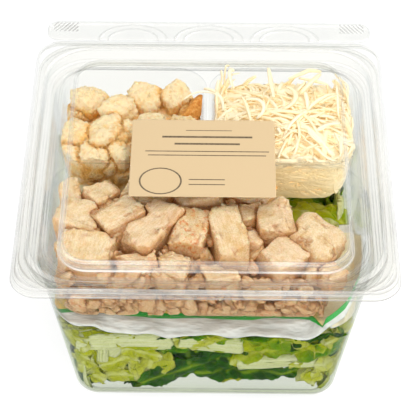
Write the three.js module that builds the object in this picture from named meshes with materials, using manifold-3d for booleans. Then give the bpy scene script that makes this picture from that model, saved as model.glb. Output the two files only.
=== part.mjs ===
// A shut, clear clamshell of chicken caesar salad, in millimetres, +Z up.
// The origin is the middle of the tub's underside, the hinge is towards +Y.
// Chopped lettuce fills the tub. A dressing sachet lies on it, and a clear tray with three
// pockets hangs from the tub's rim: chicken in front, croutons rear left, parmesan rear right.

import * as THREE from "three";
import { mergeVertices } from "three/addons/utils/BufferGeometryUtils.js";
import Module from "manifold-3d";

const wasm = await Module();
wasm.setup();

// ---------------------------------------------------------------- driving dimensions
const PACK_WIDTH = 190; // over the lid's skirt, the same both ways
const SKIRT_BOTTOM = 106; // height of the skirt's lower edge
const LIP_TOP = 110.4; // height of the flange and of the label panel
const SHEET = 0.8; // wall of the tub and lid
const GAP = 0.4; // room kept between pieces that touch

const FLOOR_HALF = 68.7; // tub floor, half width
const FLOOR_CORNER = 13;
const FLOOR_FILLET = 5;
const WALL_TOP_HALF = 84.3; // tub wall where it meets the tray's ledge
const WALL_TOP_CORNER = 25;
const LEDGE = 100.6; // height of the ledge that carries the tray
const MOUTH_HALF = 88.4; // tub mouth above that ledge
const TUB_FLANGE_TOP = 109;

const PANEL_HALF_X = 71.7; // raised label panel of the lid
const PANEL_FRONT = -75;
const PANEL_BACK = 78;
const PANEL_CORNER = 14;
const GUTTER = 105.2; // height of the lid's gutter round the panel
const PLUG_HALF = 85.7; // plug wall, where the lid drops into the tub's mouth
const PLUG_BOW = 1.6; // how far the plug's sides swell outwards

const TRAY_SHEET = 0.7;
const TRAY_TOP = 102.1;
const TRAY_FLANGE_HALF = 84.9;
const POCKET_FLOOR = 66.5; // top face of the pockets' floors
const POCKET_EDGE = 78.6; // outer edge of the pockets, from the middle
const POCKET_DRAFT = 4; // how far a pocket wall leans in from mouth to floor
const POCKET_CORNER = 17;
const POCKET_FILLET = 7;
const DIVIDER = 5; // width of a divider between two pockets
const CROSS_DIVIDER_Y = 4; // middle of the divider behind the chicken

const STRIP_HALF = 90; // tear strip behind the hinge
const STRIP_FRONT = PACK_WIDTH / 2 + 0.3;
const STRIP_BACK = 112;
const STRIP_TOP = 110.2;
const STRIP_BOTTOM = 106.3;
const STRIP_SHEET = 0.7;

const LABEL_WIDTH = 74.6;
const LABEL_DEPTH = 57.6;
const LABEL_SHEET = 0.4;
const LABEL_AT = [-2.1, -0.8];

const SACHET_FRONT = -76;
const SACHET_BACK = -20;
const SACHET_SKEW = 20; // how much further back its right end reaches
const SACHET_HALF = 77;
const SACHET_FILL = 7; // thickness of the filled middle
const SACHET_SEAL = 0.9; // thickness of its flat sealed edge
const SACHET_BED = 55.8; // height of its lower side in the middle

const LETTUCE_BOTTOM = 5;
const LETTUCE_TOP = 54.8;
const LEAF_SHEET = 1.5;

// ---------------------------------------------------------------- plain helpers
const UP = new THREE.Vector3(0, 0, 1);
const radians = THREE.MathUtils.degToRad;

/** A seeded source of numbers from 0 to 1. */
function seeded(seed) {
  let state = seed >>> 0;
  return () => {
    state = (state + 0x6d2b79f5) >>> 0;
    let mix = Math.imul(state ^ (state >>> 15), 1 | state);
    mix = (mix + Math.imul(mix ^ (mix >>> 7), 61 | mix)) ^ mix;
    return ((mix ^ (mix >>> 14)) >>> 0) / 4294967296;
  };
}

/** A number between low and high from a seeded source. */
function between(random, low, high) {
  return low + (high - low) * random();
}

/** Merges a geometry's vertices and drops all but their positions. */
function bare(geometry) {
  const copy = geometry.clone();
  copy.deleteAttribute("normal");
  copy.deleteAttribute("uv");
  return mergeVertices(copy, 1e-4);
}

/** An indexed geometry from points and triangles. */
function fromFaces(points, triangles) {
  const geometry = new THREE.BufferGeometry();
  const positions = points.flatMap((point) => [point.x, point.y, point.z]);
  geometry.setAttribute("position", new THREE.Float32BufferAttribute(positions, 3));
  geometry.setIndex(triangles);
  return geometry;
}

/** Turns a closed geometry into a solid that can be joined and cut. */
function toSolid(geometry) {
  const closed = bare(geometry);
  const mesh = new wasm.Mesh({
    numProp: 3,
    vertProperties: new Float32Array(closed.attributes.position.array),
    triVerts: new Uint32Array(closed.index.array),
  });
  return new wasm.Manifold(mesh);
}

/** Turns a solid back into a geometry, keeping its largest body alone. */
function toGeometry(solid) {
  const bodies = solid.decompose();
  const largest = bodies.reduce((best, body) => (body.volume() > best.volume() ? body : best));
  const mesh = largest.simplify(0.01).getMesh();
  const geometry = new THREE.BufferGeometry();
  const positions = new Float32Array(mesh.vertProperties);
  geometry.setAttribute("position", new THREE.BufferAttribute(positions, 3));
  geometry.setIndex(Array.from(mesh.triVerts));
  return geometry;
}

/** Joins many solids into one. */
function joined(solids) {
  return solids.reduce((whole, solid) => whole.add(solid));
}

// ---------------------------------------------------------------- lofted shells
const CORNER_STEPS = 4;

/** A ring with round corners. Its sides swell outwards by bow at their middles. */
function ring({ halfX, halfY = halfX, x = 0, y = 0, z, corner, bow = 0 }) {
  const points = [];
  const radius = Math.min(corner, halfX - 0.5, halfY - 0.5);
  for (let quarter = 0; quarter < 4; quarter += 1) {
    const start = (quarter * Math.PI) / 2;
    const signX = Math.sign(Math.cos(start + Math.PI / 4));
    const signY = Math.sign(Math.sin(start + Math.PI / 4));
    for (let step = 0; step <= CORNER_STEPS; step += 1) {
      const angle = start + (step * Math.PI) / 2 / CORNER_STEPS;
      const px = signX * (halfX - radius) + radius * Math.cos(angle);
      const py = signY * (halfY - radius) + radius * Math.sin(angle);
      points.push([px, py]);
    }
    points.push(quarter % 2 ? [signX * halfX, 0] : [0, signY * halfY]);
  }
  return points.map(([px, py]) => {
    const swellX = 1 + (bow / halfX) * (1 - (py / halfY) ** 2);
    const swellY = 1 + (bow / halfY) * (1 - (px / halfX) ** 2);
    return new THREE.Vector3(x + px * swellX, y + py * swellY, z);
  });
}

/** A closed solid through a row of rings, with a flat cap on the first and the last. */
function loft(rings) {
  const count = rings[0].length;
  const points = rings.flat();
  const triangles = [];
  for (let level = 0; level + 1 < rings.length; level += 1) {
    for (let index = 0; index < count; index += 1) {
      const next = (index + 1) % count;
      const a = level * count + index;
      const b = level * count + next;
      triangles.push(a, b, b + count, a, b + count, a + count);
    }
  }
  const last = (rings.length - 1) * count;
  points.push(middleOf(rings[0]), middleOf(rings[rings.length - 1]));
  for (let index = 0; index < count; index += 1) {
    const next = (index + 1) % count;
    triangles.push(points.length - 2, next, index);
    triangles.push(points.length - 1, last + index, last + next);
  }
  return fromFaces(points, triangles);
}

/** The middle of a ring's points. */
function middleOf(points) {
  const sum = points.reduce((total, point) => total.add(point), new THREE.Vector3());
  return sum.divideScalar(points.length);
}

/** Half width of the tub's outer wall at a height. */
function wallHalf(z) {
  return FLOOR_HALF + ((WALL_TOP_HALF - FLOOR_HALF) * z) / LEDGE;
}

/** Corner radius of the tub's wall at a height. */
function wallCorner(z) {
  return FLOOR_CORNER + ((WALL_TOP_CORNER - FLOOR_CORNER) * z) / LEDGE;
}

/** Rings of the tub's wall from floor to ledge, set in from its outer face. */
function wallRings(inset) {
  const rings = [];
  const radius = FLOOR_FILLET - inset;
  const fillet = [0, 0.5, 1].map((part) => (part * Math.PI) / 2);
  for (const angle of fillet) {
    const pull = radius * (1 - Math.sin(angle));
    const z = inset + radius * (1 - Math.cos(angle));
    const halfX = wallHalf(z) - inset - pull;
    rings.push(ring({ halfX, z, corner: Math.max(wallCorner(z) - inset - pull, 3) }));
  }
  for (const z of [50, LEDGE - SHEET + inset]) {
    rings.push(ring({ halfX: wallHalf(z) - inset, z, corner: wallCorner(z) - inset }));
  }
  return rings;
}

// ---------------------------------------------------------------- the clear pack
/** The tub: floor, leaning walls, a ledge for the tray and a flange turned down outside. */
function makeTub() {
  const flangeHalf = PACK_WIDTH / 2 - 2.6;
  const corner = 22;
  const outside = [
    ...wallRings(0),
    ring({ halfX: MOUTH_HALF, z: LEDGE, corner: 24 }),
    ring({ halfX: MOUTH_HALF, z: TUB_FLANGE_TOP - SHEET, corner: 24, bow: PLUG_BOW }),
    ring({ halfX: flangeHalf - SHEET, z: TUB_FLANGE_TOP - SHEET, corner }),
    ring({ halfX: flangeHalf - SHEET, z: SKIRT_BOTTOM + 0.5, corner }),
  ];
  const inside = [
    ring({ halfX: flangeHalf, z: SKIRT_BOTTOM + 0.5, corner }),
    ring({ halfX: flangeHalf, z: TUB_FLANGE_TOP, corner }),
    ring({ halfX: MOUTH_HALF - SHEET, z: TUB_FLANGE_TOP, corner: 23, bow: PLUG_BOW }),
    ring({ halfX: MOUTH_HALF - SHEET, z: LEDGE + SHEET, corner: 23 }),
    ...wallRings(SHEET).reverse(),
  ];
  return loft([...outside, ...inside]);
}

/** Rings of the lid from its skirt to its label panel, along the upper or the lower face. */
function lidRings(under) {
  const drop = under ? SHEET : 0;
  const skirt = PACK_WIDTH / 2 - drop;
  const panelMiddle = (PANEL_FRONT + PANEL_BACK) / 2;
  const panelHalfY = (PANEL_BACK - PANEL_FRONT) / 2;
  const panel = (grow, z) =>
    ring({
      halfX: PANEL_HALF_X + grow - drop,
      halfY: panelHalfY + grow - drop,
      y: panelMiddle,
      z: z - drop,
      corner: PANEL_CORNER + grow - drop,
    });
  const plug = (half, z, bow) => ring({ halfX: half + drop, z: z - drop, corner: 24, bow });
  return [
    ring({ halfX: skirt, z: SKIRT_BOTTOM, corner: 14 - drop }),
    ring({ halfX: skirt - 1.2, z: LIP_TOP - 0.7 - drop, corner: 13 - drop }),
    ring({ halfX: skirt - 2, z: LIP_TOP - drop, corner: 12.4 - drop }),
    plug(PLUG_HALF + 1, LIP_TOP, PLUG_BOW),
    plug(PLUG_HALF - 0.2, LIP_TOP - 1.2, PLUG_BOW),
    plug(80.6, GUTTER - 0.6, 0.4),
    plug(79.4, GUTTER - 0.9, 0.4),
    panel(3, GUTTER),
    panel(1.3, GUTTER + 0.4),
    panel(0.4, LIP_TOP - 0.8),
    panel(-0.6, LIP_TOP),
  ];
}

/** The lid: a skirt, a flange, a plug that drops into the tub, a gutter and a raised panel. */
function makeLid() {
  return loft([...lidRings(true).reverse(), ...lidRings(false)]);
}

/** The tear strip: a sheet folded double behind the hinge, with round ends and ribbed grips. */
function makeTearStrip() {
  const halfDepth = (STRIP_BACK - STRIP_FRONT) / 2;
  const middle = (STRIP_BACK + STRIP_FRONT) / 2;
  const outline = (inset, z) =>
    ring({ halfX: STRIP_HALF - inset, halfY: halfDepth - inset, y: middle, z, corner: 7 - inset });
  let strip = toSolid(loft([outline(0, STRIP_BOTTOM), outline(0, STRIP_TOP)]));
  const hollow = new THREE.BoxGeometry(
    2 * STRIP_HALF + 2,
    2 * halfDepth,
    STRIP_TOP - STRIP_BOTTOM - 2 * STRIP_SHEET,
  );
  hollow.translate(0, middle - STRIP_SHEET, (STRIP_TOP + STRIP_BOTTOM) / 2);
  strip = strip.subtract(toSolid(hollow));
  const ribs = 5;
  for (const side of [-1, 1]) {
    for (let index = 0; index < ribs; index += 1) {
      const rib = new THREE.BoxGeometry(1.1, 6.5, 0.6);
      rib.rotateZ(radians(35));
      rib.translate(side * (STRIP_HALF - 5 - index * 2.6), middle + 2, STRIP_TOP + 0.1);
      strip = strip.add(toSolid(rib));
    }
  }
  return toGeometry(strip);
}

/** Where each pocket of the tray lies: its edges at the mouth. */
const POCKETS = {
  chicken: {
    left: -POCKET_EDGE,
    right: POCKET_EDGE,
    front: -POCKET_EDGE,
    back: CROSS_DIVIDER_Y - DIVIDER / 2,
  },
  croutons: {
    left: -POCKET_EDGE,
    right: -DIVIDER / 2,
    front: CROSS_DIVIDER_Y + DIVIDER / 2,
    back: POCKET_EDGE,
  },
  parmesan: {
    left: DIVIDER / 2,
    right: POCKET_EDGE,
    front: CROSS_DIVIDER_Y + DIVIDER / 2,
    back: POCKET_EDGE,
  },
};

/** The space inside a pocket, made smaller by inset and running up to a height. */
function pocketSpace(pocket, inset, top) {
  const level = (z, pull) =>
    ring({
      halfX: (pocket.right - pocket.left) / 2 - inset - pull,
      halfY: (pocket.back - pocket.front) / 2 - inset - pull,
      x: (pocket.right + pocket.left) / 2,
      y: (pocket.back + pocket.front) / 2,
      z,
      corner: POCKET_CORNER - inset - pull / 2,
    });
  const floor = POCKET_FLOOR + inset;
  const radius = POCKET_FILLET;
  const lean = (z) => (POCKET_DRAFT * (TRAY_TOP - z)) / (TRAY_TOP - POCKET_FLOOR);
  const rings = [0, 0.5, 1].map((part) => {
    const angle = (part * Math.PI) / 2;
    const z = floor + radius * (1 - Math.cos(angle));
    return level(z, lean(z) + radius * (1 - Math.sin(angle)));
  });
  rings.push(level(TRAY_TOP, 0), level(top, 0));
  return toSolid(loft(rings));
}

/** The tray: a flange with three pockets hanging from it. */
function makeTray() {
  const flangeBottom = TRAY_TOP - TRAY_SHEET;
  const flange = loft([
    ring({ halfX: TRAY_FLANGE_HALF, z: flangeBottom, corner: 22 }),
    ring({ halfX: TRAY_FLANGE_HALF, z: TRAY_TOP, corner: 22 }),
  ]);
  let tray = toSolid(flange);
  for (const pocket of Object.values(POCKETS)) {
    tray = tray.add(pocketSpace(pocket, -TRAY_SHEET, TRAY_TOP));
  }
  const above = new THREE.BoxGeometry(PACK_WIDTH, PACK_WIDTH, 10);
  above.translate(0, 0, TRAY_TOP + 5);
  for (const pocket of Object.values(POCKETS)) {
    tray = tray.subtract(pocketSpace(pocket, 0, TRAY_TOP + 4));
  }
  return toGeometry(tray.subtract(toSolid(above)));
}

/** The label: a thin plate with round corners on the lid's panel. */
function makeLabel() {
  const outline = (z) =>
    ring({
      halfX: LABEL_WIDTH / 2,
      halfY: LABEL_DEPTH / 2,
      x: LABEL_AT[0],
      y: LABEL_AT[1],
      z,
      corner: 1,
    });
  const bottom = LIP_TOP + 0.3;
  return loft([outline(bottom), outline(bottom + LABEL_SHEET)]);
}

// ---------------------------------------------------------------- thin wavy solids
/**
 * A thin solid between two grids of points. place(u, v) gives a middle point for u and v
 * from -1 to 1, and half(u, v) gives half its thickness. Both faces are split alike.
 */
function sheet(place, half, countU, countV) {
  const points = [];
  const triangles = [];
  const rows = countU + 1;
  const columns = countV + 1;
  const step = 1e-3;
  for (const side of [1, -1]) {
    for (let i = 0; i < rows; i += 1) {
      for (let j = 0; j < columns; j += 1) {
        const u = (2 * i) / countU - 1;
        const v = (2 * j) / countV - 1;
        const middle = place(u, v);
        const alongU = place(u + step, v).sub(place(u - step, v));
        const alongV = place(u, v + step).sub(place(u, v - step));
        const normal = alongU.cross(alongV).normalize();
        points.push(middle.addScaledVector(normal, side * half(u, v)));
      }
    }
  }
  const total = rows * columns;
  const at = (side, i, j) => side * total + i * columns + j;
  for (let i = 0; i < countU; i += 1) {
    for (let j = 0; j < countV; j += 1) {
      const [a, b, c, d] = [at(0, i, j), at(0, i + 1, j), at(0, i + 1, j + 1), at(0, i, j + 1)];
      triangles.push(a, b, c, a, c, d);
      triangles.push(a + total, c + total, b + total, a + total, d + total, c + total);
    }
  }
  const rim = [];
  for (let i = 0; i < countU; i += 1) rim.push(at(0, i, 0));
  for (let j = 0; j < countV; j += 1) rim.push(at(0, countU, j));
  for (let i = countU; i > 0; i -= 1) rim.push(at(0, i, countV));
  for (let j = countV; j > 0; j -= 1) rim.push(at(0, 0, j));
  rim.forEach((a, index) => {
    const b = rim[(index + 1) % rim.length];
    triangles.push(a, a + total, b + total, a, b + total, b);
  });
  return fromFaces(points, triangles);
}

/** The room inside the tub that the tray's pockets leave free. */
function tubSpace() {
  const inset = SHEET + GAP;
  const low = [0, 0.5, 1].map((part) => {
    const angle = (part * Math.PI) / 2;
    const radius = FLOOR_FILLET;
    const z = inset + radius * (1 - Math.cos(angle));
    const pull = radius * (1 - Math.sin(angle));
    return ring({ halfX: wallHalf(z) - inset - pull, z, corner: wallCorner(z) - inset - pull });
  });
  const z = LEDGE - 8;
  low.push(ring({ halfX: wallHalf(z) - inset, z, corner: wallCorner(z) - inset }));
  let space = toSolid(loft(low));
  for (const pocket of Object.values(POCKETS)) {
    space = space.subtract(pocketSpace(pocket, -TRAY_SHEET - GAP, LEDGE));
  }
  return space;
}

/** The dressing sachet: a flat pillow whose sealed ends turn up along the tub's walls. */
function makeSachet() {
  const middleY = (SACHET_FRONT + SACHET_BACK) / 2;
  const halfDepth = (SACHET_BACK - SACHET_FRONT) / 2;
  const swell = (u, v) => Math.max(0, 1 - u ** 4) * Math.max(0, 1 - v ** 4);
  const place = (u, v) => {
    const bend = Math.max(0, Math.abs(u) - 0.8) / 0.2;
    const droop = Math.max(0, -v - 0.7) / 0.3;
    const wave = 0.8 * Math.sin(7 * u + 1) * droop;
    const rise = (u > 0 ? 11 : 6) * bend ** 2;
    const skew = (SACHET_SKEW * Math.max(0, u - 0.6) * (v + 1)) / 0.8;
    const x = SACHET_HALF * u - Math.sign(u) * 3.2 * bend;
    const z = SACHET_BED + SACHET_FILL / 2 + rise - 2.2 * droop + wave;
    return new THREE.Vector3(x, middleY + halfDepth * v + skew, z);
  };
  const half = (u, v) => SACHET_SEAL / 2 + (SACHET_FILL / 2 - SACHET_SEAL / 2) * swell(u, v);
  return toGeometry(toSolid(sheet(place, half, 16, 6)).intersect(tubSpace()));
}

/** A leaf or a piece of rib: a thin sheet, rolled along its length and waved at its edges. */
function leaf({ length, width, roll, wave, sheet: thickness, at, turn, lean, spin, cells }) {
  const random = seeded(Math.round(1000 * (length + width + roll)));
  const phase = between(random, 0, 6);
  const place = (u, v) => {
    const taper = 1 - 0.35 * u * u;
    const angle = roll * v * taper;
    const radius = width / 2 / Math.max(Math.abs(roll), 0.05);
    const frill = wave * v * v * Math.sin(4 * u + phase);
    const y = radius * Math.sin(angle);
    const z = radius * (1 - Math.cos(angle)) * Math.sign(roll || 1) + frill;
    return new THREE.Vector3((length / 2) * u, y, z + 0.12 * length * u * u);
  };
  const geometry = sheet(place, () => thickness / 2, cells[0], cells[1]);
  geometry.rotateX(radians(spin));
  geometry.rotateY(radians(lean));
  geometry.rotateZ(radians(turn));
  geometry.translate(...at);
  return geometry;
}

// ---------------------------------------------------------------- lumps of food
/**
 * A lump: a box with its edges rounded off and its faces made uneven.
 * size holds its whole length, width and height, and squareness runs from 2, an egg, up.
 */
function lump({ size, at, turn = 0, tilt = 0, roll = 0, squareness = 4, uneven = 0.1, seed, cells = 3 }) {
  const random = seeded(seed);
  const geometry = bare(new THREE.BoxGeometry(2, 2, 2, cells, cells, cells));
  const waves = Array.from({ length: 4 }, () => {
    const height = between(random, -1, 1);
    const angle = between(random, 0, 2 * Math.PI);
    const flat = Math.sqrt(1 - height * height);
    const along = new THREE.Vector3(flat * Math.cos(angle), flat * Math.sin(angle), height);
    return { along, phase: between(random, 0, 2 * Math.PI) };
  });
  const position = geometry.attributes.position;
  const point = new THREE.Vector3();
  for (let index = 0; index < position.count; index += 1) {
    point.fromBufferAttribute(position, index);
    const sum = ["x", "y", "z"].reduce((total, axis) => total + Math.abs(point[axis]) ** squareness, 0);
    point.divideScalar(sum ** (1 / squareness));
    const bump = (wave) => Math.sin(3.1 * wave.along.dot(point) + wave.phase);
    const bumps = waves.reduce((total, wave) => total + bump(wave), 0);
    point.multiplyScalar(1 + (uneven * bumps) / 2);
    position.setXYZ(index, (point.x * size[0]) / 2, (point.y * size[1]) / 2, (point.z * size[2]) / 2);
  }
  geometry.rotateX(radians(roll));
  geometry.rotateY(radians(tilt));
  geometry.rotateZ(radians(turn));
  geometry.translate(...at);
  return geometry;
}

/** A lump made larger all round by a margin, to cut room for it out of its neighbours. */
function grownLump(shape, margin) {
  return toSolid(lump({ ...shape, size: shape.size.map((side) => side + 2 * margin) }));
}

/** The room that food may fill above the tray, under the lid's panel. */
function headSpace(left, right, front, back) {
  const inset = SHEET + GAP;
  const bottom = TRAY_TOP + GAP;
  const top = LIP_TOP - inset;
  const low = new THREE.Vector3(
    Math.max(left, inset - PANEL_HALF_X),
    Math.max(front, PANEL_FRONT + inset),
    bottom,
  );
  const high = new THREE.Vector3(
    Math.min(right, PANEL_HALF_X - inset),
    Math.min(back, PANEL_BACK - inset),
    top,
  );
  const size = high.clone().sub(low);
  const box = new THREE.BoxGeometry(size.x, size.y, size.z);
  box.translate((low.x + high.x) / 2, (low.y + high.y) / 2, (low.z + high.z) / 2);
  return toSolid(box);
}

/** The whole space for the food of one pocket: the pocket and the room above it. */
function foodSpace(name) {
  const pocket = POCKETS[name];
  const meet = DIVIDER / 2 - GAP / 2;
  const right = name === "croutons" ? pocket.right + meet : pocket.right;
  const left = name === "parmesan" ? pocket.left - meet : pocket.left;
  const back = name === "chicken" ? pocket.back + meet : pocket.back;
  const front = name === "chicken" ? pocket.front : pocket.front - meet;
  return pocketSpace(pocket, GAP, TRAY_TOP + 1).add(headSpace(left, right, front, back));
}

// ---------------------------------------------------------------- the chicken
// Each chunk's place, size, turn about the upright and tilt along its length. All of them
// rest on the bed of shreds, so a chunk's height comes from its top.
const BED_TOP = 83.5;
const CHUNKS = [
  { spot: [-43, -33], top: 104.5, size: [24, 21], turn: 35, tilt: -6 },
  { spot: [-65, -33], top: 103, size: [24, 19], turn: -20, tilt: 4, cells: 2 },
  { spot: [-60, -55], top: 102, size: [28, 20], turn: -8, tilt: -4 },
  { spot: [-27, -39], top: 104.5, size: [34, 20], turn: 52, tilt: -6 },
  { spot: [-9, -41], top: 104, size: [19, 27], turn: -10, tilt: 4, cells: 2 },
  { spot: [11, -44], top: 104.5, size: [17, 38], turn: 12, tilt: 3 },
  { spot: [35, -34], top: 104, size: [18, 24], turn: 10, tilt: -4, cells: 2 },
  { spot: [55, -45], top: 104, size: [28, 27], turn: -35, tilt: 5, squareness: 2.6 },
  { spot: [38, -58], top: 101.5, size: [22, 20], turn: 40, tilt: 4, cells: 2 },
  { spot: [-54, -15], top: 101, size: [18, 14], turn: 40, tilt: 8, cells: 2 },
  { spot: [23, -28], top: 100.5, size: [15, 13], turn: 20, cells: 2 },
  { spot: [24, -46], top: 99, size: [11, 11], turn: 65, tilt: 12, cells: 2 },
  { spot: [-34, -63], top: 98.5, size: [20, 17], turn: 12, tilt: -5, cells: 2 },
  { spot: [-17, -64], top: 98.5, size: [18, 16], turn: -18, tilt: 4, cells: 2 },
  { spot: [62, -66], top: 96.5, size: [13, 12], turn: 30, tilt: 8, squareness: 3, cells: 2 },
  { spot: [8, -67], top: 95, size: [19, 12], turn: 8, cells: 2 },
  { spot: [30, -71], top: 92.5, size: [17, 9], turn: -6, cells: 2 },
  { spot: [-71, -12], top: 99.5, size: [11, 17], turn: 10, cells: 2 },
  { spot: [-31, -13], top: 102, size: [25, 21], turn: -28, tilt: 3, cells: 2 },
  { spot: [-4, -14], top: 103, size: [26, 20], turn: 14, tilt: -4, cells: 2 },
  { spot: [23, -11], top: 98.5, size: [20, 17], turn: -30, tilt: 4, cells: 2 },
];

/** The chunks' shapes, each standing on the bed. */
function chunkShapes() {
  const lowest = BED_TOP + 0.9;
  return CHUNKS.map(({ spot, top, size, ...rest }, index) => ({
    ...rest,
    at: [...spot, (top + lowest) / 2],
    size: [...size, top - lowest],
    uneven: 0.07,
    seed: 40 + index,
  }));
}

/** The half space over a height, or under it. */
function halfSpace(z, over) {
  const block = new THREE.BoxGeometry(2 * PACK_WIDTH, 2 * PACK_WIDTH, PACK_WIDTH);
  block.translate(0, 0, z + (over ? 0.5 : -0.5) * PACK_WIDTH);
  return toSolid(block);
}

/** The chunks as lumps that make room for each other, each cut to the pocket's space. */
function makeChunks(space) {
  const shapes = chunkShapes();
  const room = space.intersect(halfSpace(BED_TOP + GAP, true));
  return shapes.map((shape, index) => {
    let chunk = toSolid(lump(shape)).intersect(room);
    for (const earlier of shapes.slice(0, index)) {
      chunk = chunk.subtract(grownLump(earlier, 0.5));
    }
    return toGeometry(chunk);
  });
}

// The bed's outline seen from above. The pocket's floor is bare to the right of it.
const BED_OUTLINE = [
  [-80, -80],
  [58, -80],
  [63, -62],
  [63, -40],
  [60, -30],
  [40, -25],
  [30, -14],
  [27, 3],
  [-80, 3],
];

/** An upright block over the bed's outline, drawn in at its right by a margin. */
function bedBlock(margin) {
  const corners = BED_OUTLINE.map(([x, y]) => new THREE.Vector2(x - margin, y));
  const block = new THREE.ExtrudeGeometry(new THREE.Shape(corners), { depth: 30, bevelEnabled: false });
  block.translate(0, 0, POCKET_FLOOR - 5);
  return toSolid(block);
}

/** The torn chicken under the chunks: a bed in the pocket with shreds and crumbs fused on. */
function makeShreds(space) {
  const random = seeded(7);
  const pocket = POCKETS.chicken;
  const pieces = [];
  const frontPieces = 12;
  for (let index = 0; index < frontPieces; index += 1) {
    const x = THREE.MathUtils.lerp(pocket.left + 11, BED_OUTLINE[1][0] - 8, index / (frontPieces - 1));
    const size = [between(random, 12, 18), between(random, 8, 10), between(random, 10, 14)];
    const y = pocket.front + between(random, 7, 9);
    pieces.push({ size, at: [x, y, between(random, 73, 82)], tilt: between(random, -50, 50) });
  }
  for (const y of [-45, -20]) {
    const size = [9, between(random, 12, 18), between(random, 10, 14)];
    const at = [7 - POCKET_EDGE, y, between(random, 76, 82)];
    pieces.push({ size, at, roll: between(random, -40, 40) });
  }
  for (const [x, y] of [
    [58, -50],
    [52, -32],
  ]) {
    const size = [between(random, 11, 14), between(random, 12, 16), 13];
    pieces.push({ size, at: [x, y, 77], turn: between(random, -30, 30) });
  }
  let bed = pocketSpace(pocket, 3.2, BED_TOP).intersect(bedBlock(2));
  pieces.forEach((piece, index) => {
    const shape = { ...piece, uneven: 0.1, squareness: 3, seed: 300 + index, cells: 2 };
    bed = bed.add(toSolid(lump(shape)));
  });
  return toGeometry(bed.intersect(space).intersect(halfSpace(BED_TOP, false)));
}

// ---------------------------------------------------------------- the croutons
// The top layer's places. Each is a cube of bread, a little longer one way.
const TOP_CROUTONS = [
  [-66, 60, 93],
  [-48, 50, 95],
  [-35, 62, 92],
  [-17, 64, 92],
  [-9, 51, 95],
  [-55, 29, 97],
  [-70, 30, 95],
  [-43, 27, 96],
  [-59, 10.5, 93],
  [-45, 13, 94],
  [-71, 12, 90],
  [-30, 34, 97],
  [-15, 33, 96],
  [-29, 13, 94],
  [-13, 15, 93],
];

/** The croutons: a core, a top layer, and the pieces that show through the pocket's walls. */
function makeCroutons(space) {
  const random = seeded(11);
  const pocket = POCKETS.croutons;
  const middle = [(pocket.left + pocket.right) / 2, (pocket.front + pocket.back) / 2];
  const core = { size: [56, 50, 25], at: [...middle, 79.5], squareness: 5, uneven: 0.02, seed: 12 };
  let heap = toSolid(lump({ ...core, cells: 2 }));
  const places = [...TOP_CROUTONS];
  const around = 6;
  for (let index = 0; index < around; index += 1) {
    const angle = (2 * Math.PI * (index + 0.5)) / around;
    const reach = 1 / Math.max(Math.abs(Math.cos(angle)), Math.abs(Math.sin(angle)));
    const x = middle[0] + 25.5 * reach * Math.cos(angle);
    const y = middle[1] + 24 * reach * Math.sin(angle);
    places.push([x, y, 80]);
  }
  places.forEach((at, index) => {
    const size = [between(random, 16, 20), between(random, 15, 18), between(random, 14, 17)];
    const turn = between(random, 0, 90);
    const tilt = between(random, -15, 15);
    const shape = { size, at, turn, tilt, squareness: 4, uneven: 0.06, seed: 500 + index, cells: 2 };
    heap = heap.add(toSolid(lump(shape)));
  });
  return toGeometry(heap.intersect(space));
}

// ---------------------------------------------------------------- the parmesan
const CHEESE_SHREDS = 27;

/** A shred of cheese: a bent strip of square section. */
function cheeseShred({ length, width, bend, at, turn, lean }) {
  const place = (u, v) =>
    new THREE.Vector3(
      (length / 2) * u,
      (width / 2) * v + bend * (1 - u * u),
      0.4 * bend * Math.sin(2 * u),
    );
  const geometry = sheet(place, () => width * 0.4, 3, 1);
  geometry.rotateY(radians(lean));
  geometry.rotateZ(radians(turn));
  geometry.translate(...at);
  return geometry;
}

/** Height of the parmesan mound over a point of its pocket. */
function moundTop(x, y) {
  const pocket = POCKETS.parmesan;
  const u = (x - (pocket.left + pocket.right) / 2) / ((pocket.right - pocket.left) / 2);
  const v = (y - (pocket.front + pocket.back) / 2) / ((pocket.back - pocket.front) / 2);
  const dome = Math.cos(Math.min(1.2, Math.abs(u)) * 1.2) * Math.cos(Math.min(1.2, Math.abs(v)) * 1.1);
  return 87.5 + 14 * dome - 4 * v;
}

/** The parmesan: a mound in the pocket with shreds lying over it and out of its edges. */
function makeParmesan(space) {
  const random = seeded(23);
  const pocket = POCKETS.parmesan;
  const middle = [(pocket.left + pocket.right) / 2, (pocket.front + pocket.back) / 2];
  const mound = lump({
    size: [66, 64, 32],
    at: [middle[0], middle[1], 83.5],
    roll: -4,
    squareness: 3.2,
    uneven: 0.03,
    seed: 600,
    cells: 4,
  });
  let heap = toSolid(mound);
  for (let index = 0; index < CHEESE_SHREDS; index += 1) {
    const x = between(random, pocket.left + 7, pocket.right - 7);
    const y = between(random, pocket.front + 6, pocket.back - 6);
    const length = between(random, 16, 32);
    const at = [x, y, moundTop(x, y) + between(random, -2.5, 0.5)];
    const turn = between(random, 0, 180);
    const lean = between(random, -16, 16);
    const shape = { length, width: 2.2, bend: between(random, -3, 3), at, turn, lean };
    heap = heap.add(toSolid(cheeseShred(shape)));
  }
  return toGeometry(heap.intersect(space));
}

// ---------------------------------------------------------------- the lettuce
/** Rings of the lettuce core: the tub's own form, set well in from its walls. */
function lettuceCore() {
  const inset = 9;
  const heights = [LETTUCE_BOTTOM + 4, LETTUCE_BOTTOM + 10, 35, LETTUCE_TOP - 5, LETTUCE_TOP - 2];
  const pulls = [8, 0, 0, 0, 8];
  const rings = heights.map((z, index) => {
    const halfX = wallHalf(z) - inset - pulls[index];
    return ring({ halfX, z, corner: wallCorner(z) });
  });
  return toSolid(loft(rings));
}

const WALL_LEAVES = 6; // along each wall of the tub

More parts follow.
